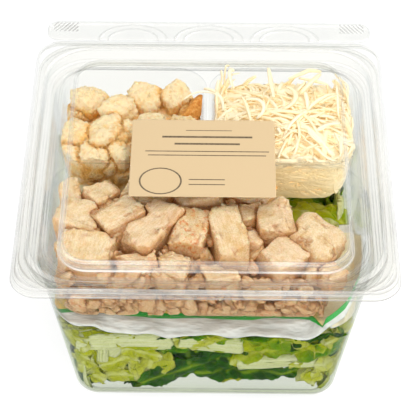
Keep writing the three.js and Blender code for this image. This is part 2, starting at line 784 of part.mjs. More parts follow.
/** Leaves and ribs along the four walls, standing or lying against them. */
function wallLeaves() {
  const random = seeded(31);
  const leaves = [];
  for (let side = 0; side < 4; side += 1) {
    const facing = side * 90;
    for (let index = 0; index < WALL_LEAVES; index += 1) {
      const along = -50 + (100 * index) / (WALL_LEAVES - 1) + between(random, -4, 4);
      const z = LETTUCE_BOTTOM + [13, 38, 25][index % 3] + between(random, -4, 4);
      const inwards = wallHalf(z) - between(random, 4.5, 7.5);
      const rib = index % 3 === 1;
      const turned = new THREE.Vector3(along, -inwards, z).applyAxisAngle(UP, radians(facing));
      leaves.push({
        length: rib ? between(random, 38, 50) : between(random, 26, 42),
        width: rib ? between(random, 13, 17) : between(random, 20, 30),
        roll: rib ? 0.9 : between(random, -0.7, 0.7),
        wave: rib ? 0.4 : 2.2,
        sheet: rib ? 3.2 : LEAF_SHEET,
        at: turned.toArray(),
        spin: rib ? 90 + between(random, -15, 15) : 90 + between(random, -35, 35),
        lean: between(random, -30, 30),
        turn: facing + between(random, -10, 10),
        cells: [3, 2],
      });
    }
  }
  return leaves;
}

/** Leaves that lie on top of the heap, under the sachet and the tray. */
function topLeaves() {
  const random = seeded(37);
  const leaves = [];
  for (let row = 0; row < 3; row += 1) {
    for (let column = 0; column < 3; column += 1) {
      const behindSachet = row > 0;
      leaves.push({
        length: between(random, 30, 44),
        width: between(random, 18, 26),
        roll: between(random, -0.8, 0.8),
        wave: 2,
        sheet: LEAF_SHEET,
        at: [-45 + 45 * column, -44 + 42 * row, LETTUCE_TOP - 2 + (behindSachet ? 5 : 0)],
        spin: between(random, -14, 14),
        lean: between(random, -12, 12),
        turn: between(random, 0, 180),
        cells: [3, 2],
      });
    }
  }
  return leaves;
}

/** The room that the sachet takes out of the lettuce under it. */
function sachetRoom() {
  const block = (left, right, front, back) => {
    const room = ring({
      halfX: (right - left) / 2,
      halfY: (back - front) / 2,
      x: (right + left) / 2,
      y: (back + front) / 2,
      z: SACHET_BED - GAP - 0.6,
      corner: 4,
    });
    const lifted = room.map((point) => point.clone().setZ(LEDGE));
    return toSolid(loft([room, lifted]));
  };
  const half = SACHET_HALF + 3;
  const whole = block(-half, half, SACHET_FRONT - 3, SACHET_BACK + 1);
  return whole.add(block(0.55 * SACHET_HALF, half, SACHET_FRONT, SACHET_BACK + SACHET_SKEW + 1));
}

/** The lettuce: a core with leaves and ribs fused on all round and on top. */
function makeLettuce() {
  const leaves = [...wallLeaves(), ...topLeaves()].map((shape) => toSolid(leaf(shape)));
  const heap = joined([lettuceCore(), ...leaves]);
  return toGeometry(heap.intersect(tubSpace()).subtract(sachetRoom()));
}

// ---------------------------------------------------------------- the assembly
/** A plain material of one colour. */
function coloured(color, roughness, opacity = 1) {
  return new THREE.MeshStandardMaterial({
    color,
    roughness,
    metalness: 0,
    opacity,
    transparent: opacity < 1,
  });
}

const clearPlastic = coloured(0xf2f6f6, 0.08, 0.2);
const labelPaper = coloured(0xefd1a6, 0.6);
const sachetFilm = coloured(0xe9ebe2, 0.35);
const chickenMeat = coloured(0xe3bd90, 0.6);
const toastedBread = coloured(0xe0b66a, 0.85);
const hardCheese = coloured(0xf2e2b4, 0.6);
const freshLeaf = coloured(0x8fb23c, 0.5);

const pack = new THREE.Group();

/** Adds a named piece to the pack. */
function addPiece(name, geometry, material) {
  const mesh = new THREE.Mesh(geometry, material);
  mesh.name = name;
  pack.add(mesh);
}

addPiece("tub", makeTub(), clearPlastic);
addPiece("lid", makeLid(), clearPlastic);
addPiece("tear_strip", makeTearStrip(), clearPlastic);
addPiece("tray", makeTray(), clearPlastic);
addPiece("label", makeLabel(), labelPaper);
addPiece("sachet", makeSachet(), sachetFilm);
addPiece("lettuce", makeLettuce(), freshLeaf);

const chickenSpace = foodSpace("chicken");
addPiece("chicken_shreds", makeShreds(chickenSpace), chickenMeat);
makeChunks(chickenSpace).forEach((geometry, index) => {
  addPiece(`chicken_chunk_${index + 1}`, geometry, chickenMeat);
});
addPiece("croutons", makeCroutons(foodSpace("croutons")), toastedBread);
addPiece("parmesan", makeParmesan(foodSpace("parmesan")), hardCheese);

export default pack;
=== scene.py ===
import math

import bpy
import numpy as np
from mathutils import Matrix, Vector


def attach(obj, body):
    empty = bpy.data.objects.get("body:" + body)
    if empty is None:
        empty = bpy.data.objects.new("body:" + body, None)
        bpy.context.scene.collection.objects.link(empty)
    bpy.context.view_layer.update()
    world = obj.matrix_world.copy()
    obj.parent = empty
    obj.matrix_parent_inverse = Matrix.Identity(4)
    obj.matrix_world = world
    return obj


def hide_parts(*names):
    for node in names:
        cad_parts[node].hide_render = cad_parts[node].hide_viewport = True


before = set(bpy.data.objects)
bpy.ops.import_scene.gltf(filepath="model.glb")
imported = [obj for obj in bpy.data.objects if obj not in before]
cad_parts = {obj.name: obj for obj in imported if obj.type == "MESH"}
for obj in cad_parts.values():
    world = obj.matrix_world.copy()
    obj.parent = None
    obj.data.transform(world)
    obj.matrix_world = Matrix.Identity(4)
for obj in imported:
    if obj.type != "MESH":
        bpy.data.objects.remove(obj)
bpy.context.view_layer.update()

MM = 0.001
BODY = "root"

# ---------------------------------------------------------------- camera, as in the photograph
CAMERA_AT = (3.70, -656.2, 727.5)
CAMERA_DOWN = math.radians(44.9)
CAMERA_YAW = math.radians(-0.265)
CAMERA_ROLL = math.radians(0.36)
FOCAL_PIXELS = 1744.0
PHOTO_PIXELS = 416
SENSOR = 36.0


def make_camera():
    down, yaw, roll = CAMERA_DOWN, CAMERA_YAW, CAMERA_ROLL
    forward = Vector((math.sin(yaw) * math.cos(down), math.cos(yaw) * math.cos(down), -math.sin(down)))
    right = Vector((math.cos(yaw), -math.sin(yaw), 0.0))
    up = right.cross(forward)
    across = math.cos(roll) * right + math.sin(roll) * up
    upward = -math.sin(roll) * right + math.cos(roll) * up
    data = bpy.data.cameras.new("camera")
    data.sensor_width = SENSOR
    data.lens = FOCAL_PIXELS * SENSOR / PHOTO_PIXELS
    data.clip_start, data.clip_end = 0.05, 20.0
    camera = bpy.data.objects.new("camera", data)
    turn = Matrix((across, upward, -forward)).transposed()
    camera.matrix_world = Matrix.Translation(Vector(CAMERA_AT) * MM) @ turn.to_4x4()
    bpy.context.collection.objects.link(camera)
    bpy.context.scene.camera = camera


make_camera()

# ---------------------------------------------------------------- the pack's dimensions, in mm
PACK_WIDTH = 190.0
SKIRT_BOTTOM = 106.0
LIP_TOP = 110.4
SHEET = 0.8
GAP = 0.4
FLOOR_HALF = 68.7
FLOOR_CORNER = 13.0
FLOOR_FILLET = 5.0
WALL_TOP_HALF = 84.3
WALL_TOP_CORNER = 25.0
LEDGE = 100.6
MOUTH_HALF = 88.4
TUB_FLANGE_TOP = 109.0
PANEL_HALF_X = 71.7
PANEL_FRONT = -75.0
PANEL_BACK = 78.0
PANEL_CORNER = 14.0
GUTTER = 105.2
PLUG_HALF = 85.7
PLUG_BOW = 1.6
TRAY_SHEET = 0.7
TRAY_TOP = 102.1
TRAY_FLANGE_HALF = 84.9
POCKET_FLOOR = 66.5
POCKET_EDGE = 78.6
POCKET_DRAFT = 4.0
POCKET_CORNER = 17.0
POCKET_FILLET = 7.0
DIVIDER = 5.0
CROSS_DIVIDER_Y = 4.0
STRIP_HALF = 90.0
STRIP_FRONT = PACK_WIDTH / 2 + 0.3
STRIP_BACK = 112.0
STRIP_TOP = 110.2
STRIP_BOTTOM = 106.3
STRIP_SHEET = 0.7
LABEL_WIDTH = 74.6
LABEL_DEPTH = 57.6
LABEL_SHEET = 0.4
LABEL_AT = (-2.1, -0.8)
SACHET_FRONT = -76.0
SACHET_BACK = -20.0
SACHET_SKEW = 20.0
SACHET_HALF = 77.0
SACHET_FILL = 7.0
SACHET_SEAL = 0.9
SACHET_BED = 55.8
LETTUCE_TOP = 54.8
LEAF_SHEET = 0.55
RIB_SHEET = 3.0
BED_TOP = 83.5

# ---------------------------------------------------------------- seeded numbers and noise


def seeded(seed):
    """The same source of numbers from 0 to 1 as the part's own."""
    state = seed & 0xFFFFFFFF

    def draw():
        nonlocal state
        state = (state + 0x6D2B79F5) & 0xFFFFFFFF
        mix = ((state ^ (state >> 15)) * (1 | state)) & 0xFFFFFFFF
        mix = ((mix + ((mix ^ (mix >> 7)) * (61 | mix))) ^ mix) & 0xFFFFFFFF
        return (mix ^ (mix >> 14)) / 4294967296

    return draw


def between(draw, low, high):
    return low + (high - low) * draw()


class Noise:
    """Gradient noise over points in space, about -1 to 1."""

    def __init__(self, seed):
        rng = np.random.default_rng(seed)
        self.order = np.tile(rng.permutation(256), 2)
        turn = rng.uniform(0, 2 * np.pi, 256)
        height = rng.uniform(-1, 1, 256)
        flat = np.sqrt(1 - height**2)
        self.slopes = np.stack([flat * np.cos(turn), flat * np.sin(turn), height], 1)

    def __call__(self, points, size=1.0):
        points = np.asarray(points, float) / size
        cell = np.floor(points).astype(int)
        inside = points - cell
        fade = inside**3 * (inside * (inside * 6 - 15) + 10)
        order = self.order
        total = np.zeros(len(points))
        for corner in np.ndindex(2, 2, 2):
            x, y, z = ((cell + corner) & 255).T
            slope = self.slopes[order[order[order[x] + y] + z]]
            weight = np.where(corner, fade, 1 - fade).prod(1)
            total += weight * np.einsum("ij,ij->i", slope, inside - corner)
        return total * 1.6

    def rough(self, points, size, octaves=3, fall=0.5):
        """Several sizes of the noise in a sum."""
        total, weight = 0.0, 1.0
        for octave in range(octaves):
            total = total + weight * self(points + 17.3 * octave, size / 2**octave)
            weight *= fall
        return total


def billow(noise, points, size):
    """Rounded bumps with sharp creases between them, about -0.5 to 1."""
    return 2.4 * np.abs(noise(points, size)) - 0.5


def ease(values, low, high):
    """0 at low, 1 at high, smooth between."""
    share = np.clip((values - low) / (high - low), 0, 1)
    return share * share * (3 - 2 * share)


def unit(vectors, least=0.0):
    """Vectors at length one. least keeps a vector of no length from a division by zero."""
    return vectors / (np.linalg.norm(vectors, axis=-1, keepdims=True) + least)


def pits(points, size, seed):
    """Distance to the nearest of many scattered points, in cells."""
    jitter = np.random.default_rng(seed).random((4096, 3))
    points = points / size
    cell = np.floor(points).astype(int)
    nearest = np.full(len(points), 9.0)
    for step in np.ndindex(3, 3, 3):
        corner = cell + np.subtract(step, 1)
        x, y, z = corner.T
        away = corner + jitter[(x * 73856093 ^ y * 19349663 ^ z * 83492791) & 4095] - points
        nearest = np.minimum(nearest, np.einsum("ij,ij->i", away, away))
    return np.sqrt(nearest)


# ---------------------------------------------------------------- meshes


def add_mesh(name, points, faces, material, smooth=True, facts=None):
    """A mesh object from points in mm. facts holds named values for each point."""
    mesh = bpy.data.meshes.new(name)
    points = np.asarray(points, float) * MM
    faces = faces.tolist() if isinstance(faces, np.ndarray) else faces
    mesh.from_pydata(points.tolist(), [], faces)
    mesh.validate()
    for key, values in (facts or {}).items():
        kind, field = ("FLOAT_VECTOR", "vector") if np.ndim(values) == 2 else ("FLOAT", "value")
        layer = mesh.attributes.new(key, kind, "POINT")
        layer.data.foreach_set(field, np.asarray(values, np.float32).ravel())
    if smooth:
        mesh.shade_smooth()
    mesh.materials.append(material)
    piece = bpy.data.objects.new(name, mesh)
    bpy.context.collection.objects.link(piece)
    return piece


def place(piece, slot, *nodes):
    """Puts the piece on its body and hides the nodes that it stands for; slot is not used."""
    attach(piece, BODY)
    if nodes:
        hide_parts(*nodes)
    return piece


def surface_of(field, origin, pitch):
    """Points and quads of the surface where a grid of values passes zero, inside below it."""
    inside = field < 0
    shape = tuple(n - 1 for n in field.shape)
    total = np.zeros(shape + (3,))
    count = np.zeros(shape)

    def at(corner):
        return tuple(slice(c, c + n) for c, n in zip(corner, shape))

    # Each cell gets the middle of the points where its edges pass zero
    for a in np.ndindex(2, 2, 2):
        for axis in range(3):
            if a[axis]:
                continue
            b = tuple(c + (i == axis) for i, c in enumerate(a))
            crossed = inside[at(a)] != inside[at(b)]
            value = field[at(a)][crossed]
            point = np.tile(np.array(a, float), (len(value), 1))
            point[:, axis] += value / (value - field[at(b)][crossed])
            total[crossed] += point
            count[crossed] += 1
    active = count > 0
    index = -np.ones(shape, int)
    index[active] = np.arange(active.sum())
    points = (np.argwhere(active) + total[active] / count[active][:, None]) * pitch + origin
    # Each edge that passes zero gets a quad between its four cells
    quads = []
    for axis in range(3):
        low, high = ([slice(None)] * 3 for _ in range(2))
        low[axis], high[axis] = slice(None, -1), slice(1, None)
        change = inside[tuple(low)].astype(int) - inside[tuple(high)].astype(int)
        one, two = [i for i in range(3) if i != axis]
        spots = np.argwhere(change != 0)
        spots = spots[(spots[:, one] > 0) & (spots[:, two] > 0)]
        spots = spots[(spots[:, one] < shape[one]) & (spots[:, two] < shape[two])]
        signs = change[tuple(spots.T)]
        ring = []
        for step_one, step_two in ((1, 1), (0, 1), (0, 0), (1, 0)):
            cell = spots.copy()
            cell[:, one] -= step_one
            cell[:, two] -= step_two
            ring.append(index[tuple(cell.T)])
        ring = np.stack(ring, 1)
        flip = (signs > 0) == (axis != 1)
        ring[flip] = ring[flip][:, ::-1]
        quads.append(ring)
    quads = np.concatenate(quads)
    return points, quads[(quads >= 0).all(1)]


def grid_over(low, high, pitch):
    """Origin, counts and points of a grid over a box."""
    low, high = np.asarray(low, float), np.asarray(high, float)
    counts = np.ceil((high - low) / pitch).astype(int) + 1
    axes = [low[i] + pitch * np.arange(counts[i]) for i in range(3)]
    points = np.stack(np.meshgrid(*axes, indexing="ij"), -1).reshape(-1, 3)
    return low, counts, points


def unit_grid(nu, nv):
    return np.meshgrid(np.linspace(-1, 1, nu), np.linspace(-1, 1, nv), indexing="ij")


def grid_faces(nu, nv):
    """Numbers and quads of a grid of points, and the path round its rim with each point's next."""
    index = np.arange(nu * nv).reshape(nu, nv)
    quads = np.stack([index[:-1, :-1], index[1:, :-1], index[1:, 1:], index[:-1, 1:]], -1).reshape(-1, 4)
    path = np.concatenate([index[:-1, 0], index[-1, :-1], index[:0:-1, -1], index[0, :0:-1]])
    return index, quads, path, np.roll(path, -1)


def sheet_faces(nu, nv):
    """Quads of a thin closed sheet, whose upper points come first and then its lower ones."""
    _, quads, path, after = grid_faces(nu, nv)
    total = nu * nv
    rim = np.stack([path, path + total, after + total, after], 1)
    return np.concatenate([quads, quads[:, ::-1] + total, rim])


def joined(meshes):
    """Points and faces of several meshes as one."""
    points, faces, start = [], [], 0
    for more, sides in meshes:
        points.append(more)
        if isinstance(sides, np.ndarray):
            faces += (sides + start).tolist()
        else:
            faces += [[i + start for i in side] for side in sides]
        start += len(more)
    return np.concatenate(points), faces


# ---------------------------------------------------------------- lumps of food, as in the part


def turned(turn=0.0, tilt=0.0, roll=0.0):
    """The turn about X by roll, then about Y by tilt, then about Z by turn, in degrees."""
    (cx, sx), (cy, sy), (cz, sz) = (
        (math.cos(math.radians(angle)), math.sin(math.radians(angle))) for angle in (roll, tilt, turn)
    )
    about_x = np.array([[1, 0, 0], [0, cx, -sx], [0, sx, cx]])
    about_y = np.array([[cy, 0, sy], [0, 1, 0], [-sy, 0, cy]])
    about_z = np.array([[cz, -sz, 0], [sz, cz, 0], [0, 0, 1]])
    return about_z @ about_y @ about_x


class Lump:
    """A box with round edges and uneven faces, as a field that is below zero inside."""

    def __init__(self, size, at, turn=0, tilt=0, roll=0, squareness=4, uneven=0.1, seed=0):
        draw = seeded(seed)
        self.waves = []
        for _ in range(4):
            height = between(draw, -1, 1)
            angle = between(draw, 0, 2 * math.pi)
            flat = math.sqrt(1 - height * height)
            along = np.array([flat * math.cos(angle), flat * math.sin(angle), height])
            self.waves.append((along, between(draw, 0, 2 * math.pi)))
        self.half = np.array(size, float) / 2
        self.at = np.array(at, float)
        self.axes = turned(turn, tilt, roll)
        self.squareness = squareness
        self.uneven = uneven

    def local(self, points):
        return (points - self.at) @ self.axes

    def reach(self):
        """Half sizes of the box round it."""
        return np.abs(self.axes) @ (self.half * (1 + 1.2 * self.uneven))

    def field(self, points):
        local = self.local(points)
        scaled = local / self.half
        power = self.squareness
        spread = np.maximum((np.abs(scaled) ** power).sum(1) ** (1 / power), 1e-6)
        unit = scaled / spread[:, None]
        bumps = sum(np.sin(3.1 * (unit @ along) + phase) for along, phase in self.waves)
        share = spread / (1 + self.uneven * bumps / 2)
        length = np.linalg.norm(local, axis=1)
        return length * (1 - 1 / share)


# ---------------------------------------------------------------- the pocket's rooms


def wall_half(z):
    return FLOOR_HALF + (WALL_TOP_HALF - FLOOR_HALF) * z / LEDGE


def wall_corner(z):
    return FLOOR_CORNER + (WALL_TOP_CORNER - FLOOR_CORNER) * z / LEDGE


POCKETS = {
    "chicken": (-POCKET_EDGE, POCKET_EDGE, -POCKET_EDGE, CROSS_DIVIDER_Y - DIVIDER / 2),
    "croutons": (-POCKET_EDGE, -DIVIDER / 2, CROSS_DIVIDER_Y + DIVIDER / 2, POCKET_EDGE),
    "parmesan": (DIVIDER / 2, POCKET_EDGE, CROSS_DIVIDER_Y + DIVIDER / 2, POCKET_EDGE),
}


def round_box(points, middle, half_x, half_y, corner):
    """Distance to an upright wall with round corners, below zero inside."""
    away = np.abs(points[:, :2] - middle) - np.stack([half_x - corner, half_y - corner], 1)
    outside = np.linalg.norm(np.maximum(away, 0), axis=1)
    return outside + np.minimum(away.max(1), 0) - corner


def pocket_field(name, points, inset=GAP):
    """Distance to the room for the food of one pocket, below zero inside."""
    left, right, front, back = POCKETS[name]
    z = points[:, 2]
    middle = np.array([(left + right) / 2, (front + back) / 2])
    lean = POCKET_DRAFT * np.clip(TRAY_TOP - z, 0, None) / (TRAY_TOP - POCKET_FLOOR)
    lift = np.clip((POCKET_FLOOR + inset + POCKET_FILLET - z) / POCKET_FILLET, 0, 1)
    pull = lean + POCKET_FILLET * (1 - np.sqrt(np.clip(1 - lift**2, 0, 1)))
    half_x = (right - left) / 2 - inset - pull
    half_y = (back - front) / 2 - inset - pull
    corner = np.clip(POCKET_CORNER - inset - pull / 2, 1, None)
    walls = round_box(points, middle, half_x, half_y, corner)
    pocket = np.maximum(walls, np.maximum(POCKET_FLOOR + inset - z, z - TRAY_TOP - 1))
    # Above the tray the food may reach the middle of each divider and the lid's panel
    room = SHEET + GAP
    meet = DIVIDER / 2 - GAP / 2
    to_left, to_right = meet * (name == "parmesan"), meet * (name == "croutons")
    to_front, to_back = meet * (name != "chicken"), meet * (name == "chicken")
    low = np.array([
        max(left - to_left, room - PANEL_HALF_X), max(front - to_front, PANEL_FRONT + room), TRAY_TOP + GAP,
    ])
    high = np.array([
        min(right + to_right, PANEL_HALF_X - room), min(back + to_back, PANEL_BACK - room), LIP_TOP - room,
    ])
    head = np.maximum(low - points, points - high).max(1)
    return np.minimum(pocket, head)


# ---------------------------------------------------------------- materials


class Nodes:
    """Short calls that add and link shader nodes of a material or a world."""

    def __init__(self, owner):
        owner.use_nodes = True
        self.owner = owner
        self.tree = owner.node_tree
        self.tree.nodes.clear()

    def link(self, value, socket):
        if isinstance(value, bpy.types.NodeSocket):
            self.tree.links.new(value, socket)
        elif value is not None:
            socket.default_value = value

    def add(self, kind, *values, **inputs):
        """A node with its first inputs given in order, or its inputs by name."""
        node = self.tree.nodes.new("ShaderNode" + kind)
        for socket, value in zip(node.inputs, values):
            self.link(value, socket)
        for name, value in inputs.items():
            self.link(value, node.inputs[name.replace("_", " ")])
        return node

    def node(self, kind, out=0, **inputs):
        return self.add(kind, **inputs).outputs[out]

    def math(self, operation, a, b=None, clamp=False):
        node = self.add("Math", a, b)
        node.operation = operation
        node.use_clamp = clamp
        return node.outputs[0]

    def plus(self, a, b, clamp=False):
        return self.math("ADD", a, b, clamp)

    def minus(self, a, b):
        return self.math("SUBTRACT", a, b)

    def times(self, a, b):
        return self.math("MULTIPLY", a, b)

    def most(self, a, b, clamp=False):
        return self.math("MAXIMUM", a, b, clamp)

    def over(self, a, b):
        return self.math("GREATER_THAN", a, b)

    def range(self, value, low, high, to_low=0.0, to_high=1.0):
        return self.add("MapRange", value, low, high, to_low, to_high).outputs[0]

    def mix(self, share, a, b):
        node = self.tree.nodes.new("ShaderNodeMix")
        node.data_type = "RGBA"
        for socket, value in ((0, share), (6, a), (7, b)):
            self.link(value, node.inputs[socket])
        return node.outputs[2]

    def ramp(self, share, *stops):
        """A colour ramp. Each stop is its place and a linear colour."""
        node = self.add("ValToRGB", share)
        elements = node.color_ramp.elements
        while len(elements) < len(stops):
            elements.new(0.5)
        for element, (spot, colour) in zip(elements, stops):
            element.position = spot
            element.color = colour
        return node.outputs[0]

    def shades(self, share, *stops):
        """A colour ramp. Each stop is its place, red, green and blue from 0 to 255."""
        return self.ramp(share, *[(spot, rgb(*colour)) for spot, *colour in stops])

    def vector(self, name):
        node = self.add("Attribute")
        node.attribute_name = name
        return node.outputs["Vector"]

    def fact(self, name):
        node = self.add("Attribute")
        node.attribute_name = name
        return node.outputs["Fac"]

    def place(self):
        """The piece's own coordinates in mm."""
        node = self.add("VectorMath", self.node("TexCoord", "Object"))
        node.operation = "SCALE"
        node.inputs["Scale"].default_value = 1 / MM
        return node.outputs[0]

    def stretch(self, vector, *factors):
        node = self.add("VectorMath", vector, factors)
        node.operation = "MULTIPLY"
        return node.outputs[0]

    def split(self, vector):
        return tuple(self.add("SeparateXYZ", vector).outputs)

    def noise(self, vector, scale, detail=2.0, rough=0.5):
        return self.node("TexNoise", Vector=vector, Scale=scale, Detail=detail, Roughness=rough)

    def bump(self, height, distance, strength=1.0, normal=None):
        return self.node("Bump", Strength=strength, Distance=distance * MM, Height=height, Normal=normal)

    def paint(self, colour, rough, **inputs):
        return self.node("BsdfPrincipled", Base_Color=colour, Roughness=rough, **inputs)

    def blend(self, share, a, b):
        """One shader over another."""
        return self.add("MixShader", share, a, b).outputs[0]

    def finish(self, surface):
        kind = "OutputWorld" if isinstance(self.owner, bpy.types.World) else "OutputMaterial"
        self.add(kind, surface)
        return self.owner


def new_material(name):
    return Nodes(bpy.data.materials.new(name))


def rgb(red, green, blue):
    """A colour given as a screen shows it, from 0 to 255."""
    def linear(value):
        value /= 255
        return value / 12.92 if value <= 0.04045 else ((value + 0.055) / 1.055) ** 2.4
    return (linear(red), linear(green), linear(blue), 1.0)


def clear_plastic(name, haze=0.0, body=1.0, glint_streaks=0.0, rim=0.6, tint=None):
    """
    Thin clear plastic: it lets light through, greyer where seen edge on, and mirrors. frost, a
    painted highlight, streaks its upright faces white; rim paints highlights on its bends; and tint
    colours its sides and its foot.
    """
    n = new_material(name)
    spot = n.place()
    _, y, z = n.split(spot)
    normal = n.bump(n.noise(spot, 0.05, 3.0, 0.6), 0.9, 0.5)
    facing = n.node("LayerWeight", 1, Blend=0.5, Normal=normal)
    through = n.shades(
        facing, (0.0, 253, 253, 252), (0.30, 252, 252, 251), (0.60, 248, 249, 248),
        (0.85, 240, 241, 241), (1.0, 196, 198, 200),
    )
    through = n.mix(body, rgb(254, 254, 254), through)
    if tint:
        side = n.times(n.range(facing, 0.65, 0.9), n.range(z, 72.0, 45.0))
        foot = n.times(n.range(z, 14.0, 2.0), 0.5)
        through = n.mix(n.most(side, foot, clamp=True), through, tint)
    # Painted grey shade on the outer rings, and the painted highlights and dark lines below, are strongest
    # at the front of the pack
    fade = n.range(y, 40.0, -70.0, 0.3, 1.0)
    through = n.mix(n.times(n.fact("grey_shade"), fade), through, rgb(224, 223, 217))
    clear = n.node("BsdfTransparent", Color=through)
    # It mirrors most where seen edge on, and a little everywhere
    share = n.plus(n.times(n.math("POWER", facing, 7.0), 0.9 * body), 0.001)
    share = n.plus(share, n.times(n.noise(spot, 0.09, 3.0), haze), clamp=True)
    shine = n.paint(rgb(250, 250, 252), 0.05, Metallic=1.0, Normal=normal)
    seen = n.blend(share, clear, shine)
    # Painted highlights: white on the profile's bends, broken along them, and white streaks on upright faces
    bend = n.range(n.noise(spot, 0.025, 2.0), 0.35, 0.60, 0.35, 1.0)
    white = n.times(n.times(n.fact("edge"), bend), rim)
    if glint_streaks:
        up = n.split(n.node("NewGeometry", "Normal"))[2]
        upright = n.range(n.math("ABSOLUTE", up), 0.75, 0.35)
        streaks = n.noise(n.stretch(spot, 0.012, 0.012, 1.3), 1.0, 3.0, 0.6)
        streaks = n.range(streaks, 0.38, 0.62, 0.0, 0.24)
        white = n.most(white, n.times(n.times(upright, streaks), glint_streaks), clamp=True)
    glint = n.paint(rgb(248, 247, 243), 0.3)
    seen = n.blend(n.times(white, n.times(fade, 0.8)), seen, glint)
    # Painted shade: grey lines beside the bends and on the strip's pressed marks
    shade_line = n.paint(rgb(128, 125, 118), 0.3)
    line_fade = 1.0 if name == "clear_strip" else fade
    broken = n.times(n.range(n.noise(spot, 0.04, 2.0), 0.35, 0.60, 0.3, 1.0), line_fade)
    seen = n.blend(n.times(n.fact("shade_line"), broken), seen, shade_line)
    # Light on its way to the food passes nearly freely
    lamp = n.node("LightPath", "Is Shadow Ray")
    open_way = n.node("BsdfTransparent", Color=rgb(252, 252, 253))
    return n.finish(n.blend(lamp, seen, open_way))


# ---------------------------------------------------------------- clear shells
CORNER_STEPS = 14
SIDE_STEPS = 10
BEND_STEPS = 4
BEND_REACH = 0.7


def ring(half_x, z, corner, half_y=None, y=0.0, bow=0.0, x=0.0):
    """A ring with round corners, its sides swelling outwards by bow at their middles."""
    half_y = half_x if half_y is None else half_y
    radius = min(corner, half_x - 0.5, half_y - 0.5)

    def arc(quarter, step):
        start = quarter * math.pi / 2
        angle = start + step * math.pi / 2 / CORNER_STEPS
        sign_x = math.copysign(1, math.cos(start + math.pi / 4))
        sign_y = math.copysign(1, math.sin(start + math.pi / 4))
        return (sign_x * (half_x - radius) + radius * math.cos(angle),
                sign_y * (half_y - radius) + radius * math.sin(angle))

    points = []
    for quarter in range(4):
        points += [arc(quarter, step) for step in range(CORNER_STEPS + 1)]
        end, ahead = points[-1], arc(quarter + 1, 0)
        for step in range(1, SIDE_STEPS):
            share = step / SIDE_STEPS
            points.append(tuple(a + (b - a) * share for a, b in zip(end, ahead)))
    px, py = np.array(points).T
    out_x = px * (1 + bow / half_x * (1 - (py / half_y) ** 2))
    out_y = py * (1 + bow / half_y * (1 - (px / half_x) ** 2))
    return np.stack([x + out_x, y + out_y, np.full(len(px), z)], 1)


def key(half, z, corner, bow=0.0, half_y=None, y=0.0):
    """One step of a shell's profile."""
    return [half, half if half_y is None else half_y, y, z, corner, bow]


def rounded(keys, radius):
    """The profile with every inner step rounded off."""
    keys = np.array(keys, float)
    result = [keys[0]]
    for before, here, after in zip(keys, keys[1:], keys[2:]):
        back, ahead = before - here, after - here
        length_back = math.hypot(back[0], back[3]) or 1e-6
        length_ahead = math.hypot(ahead[0], ahead[3]) or 1e-6
        cut = min(radius, 0.45 * length_back, 0.45 * length_ahead)
        start, end = here + back * cut / length_back, here + ahead * cut / length_ahead
        for step in range(BEND_STEPS + 1):
            t = step / BEND_STEPS
            result.append((1 - t) ** 2 * start + 2 * t * (1 - t) * here + t * t * end)
    result.append(keys[-1])
    return result


def tighten(keys):
    """Adds rings near both ends of every long stretch, so a bend's looks stay at the bend."""
    result = [keys[0]]
    for before, after in zip(keys, keys[1:]):
        before, after = np.array(before, float), np.array(after, float)
        gap = math.hypot(after[0] - before[0], after[3] - before[3])
        if gap > 3 * BEND_REACH:
            step = (after - before) * BEND_REACH / gap
            result += [before + step, after - step]
        result.append(after)
    return result


def bends(keys, spread=(0,), grey_shades=(0,)):
    """How sharply a shell's profile turns at each of its rings, for its painted highlights and painted dark
    lines, and how much painted grey shade it takes there.
    """
    spots = np.array([(k[0], k[3]) for k in keys])
    way = unit(np.diff(spots, axis=0), 1e-9)
    turn = np.degrees(np.arccos(np.clip((way[1:] * way[:-1]).sum(1), -1, 1)))
    edge = np.concatenate([[0], np.clip(turn / 20, 0, 1), [0]])
    last = (edge > 0.2) & (np.append(edge[1:], 0) <= 0.2)
    facts = {
        "edge": np.where(last, 0.0, edge),
        "shade_line": np.where(last, 0.55, 0.0),
        "grey_shade": np.interp([k[0] for k in keys], spread, grey_shades),
    }
    return {name: np.repeat(values, 4 * (CORNER_STEPS + SIDE_STEPS)) for name, values in facts.items()}


def rings_from(keys):
    return [ring(k[0], k[3], k[4], half_y=k[1], y=k[2], bow=k[5]) for k in keys]


def loft(rings, caps=True):
    """Points and faces through a row of rings, with flat caps."""
    count = len(rings[0])
    around = np.arange(count)
    after = (around + 1) % count
    faces = []
    for low in range(0, (len(rings) - 1) * count, count):
        high = low + count
        faces += np.stack([low + around, low + after, high + after, high + around], 1).tolist()
    if caps:
        faces += [around[::-1].tolist(), (around + high).tolist()]
    return np.concatenate(rings), faces


def wall_keys(inset):
    """The tub's wall from floor to ledge."""
    radius = FLOOR_FILLET - inset
    keys = [key(wall_half(0) - inset - radius - 3, inset, wall_corner(0) - inset - radius - 3)]
    for step in range(7):
        angle = step * math.pi / 12
        pull = radius * (1 - math.sin(angle))
        z = inset + radius * (1 - math.cos(angle))
        keys.append(key(wall_half(z) - inset - pull, z, max(wall_corner(z) - inset - pull, 3)))
    for z in (25, 50, 75, LEDGE - 1.2):
        keys.append(key(wall_half(z) - inset, z, wall_corner(z) - inset))
    return keys


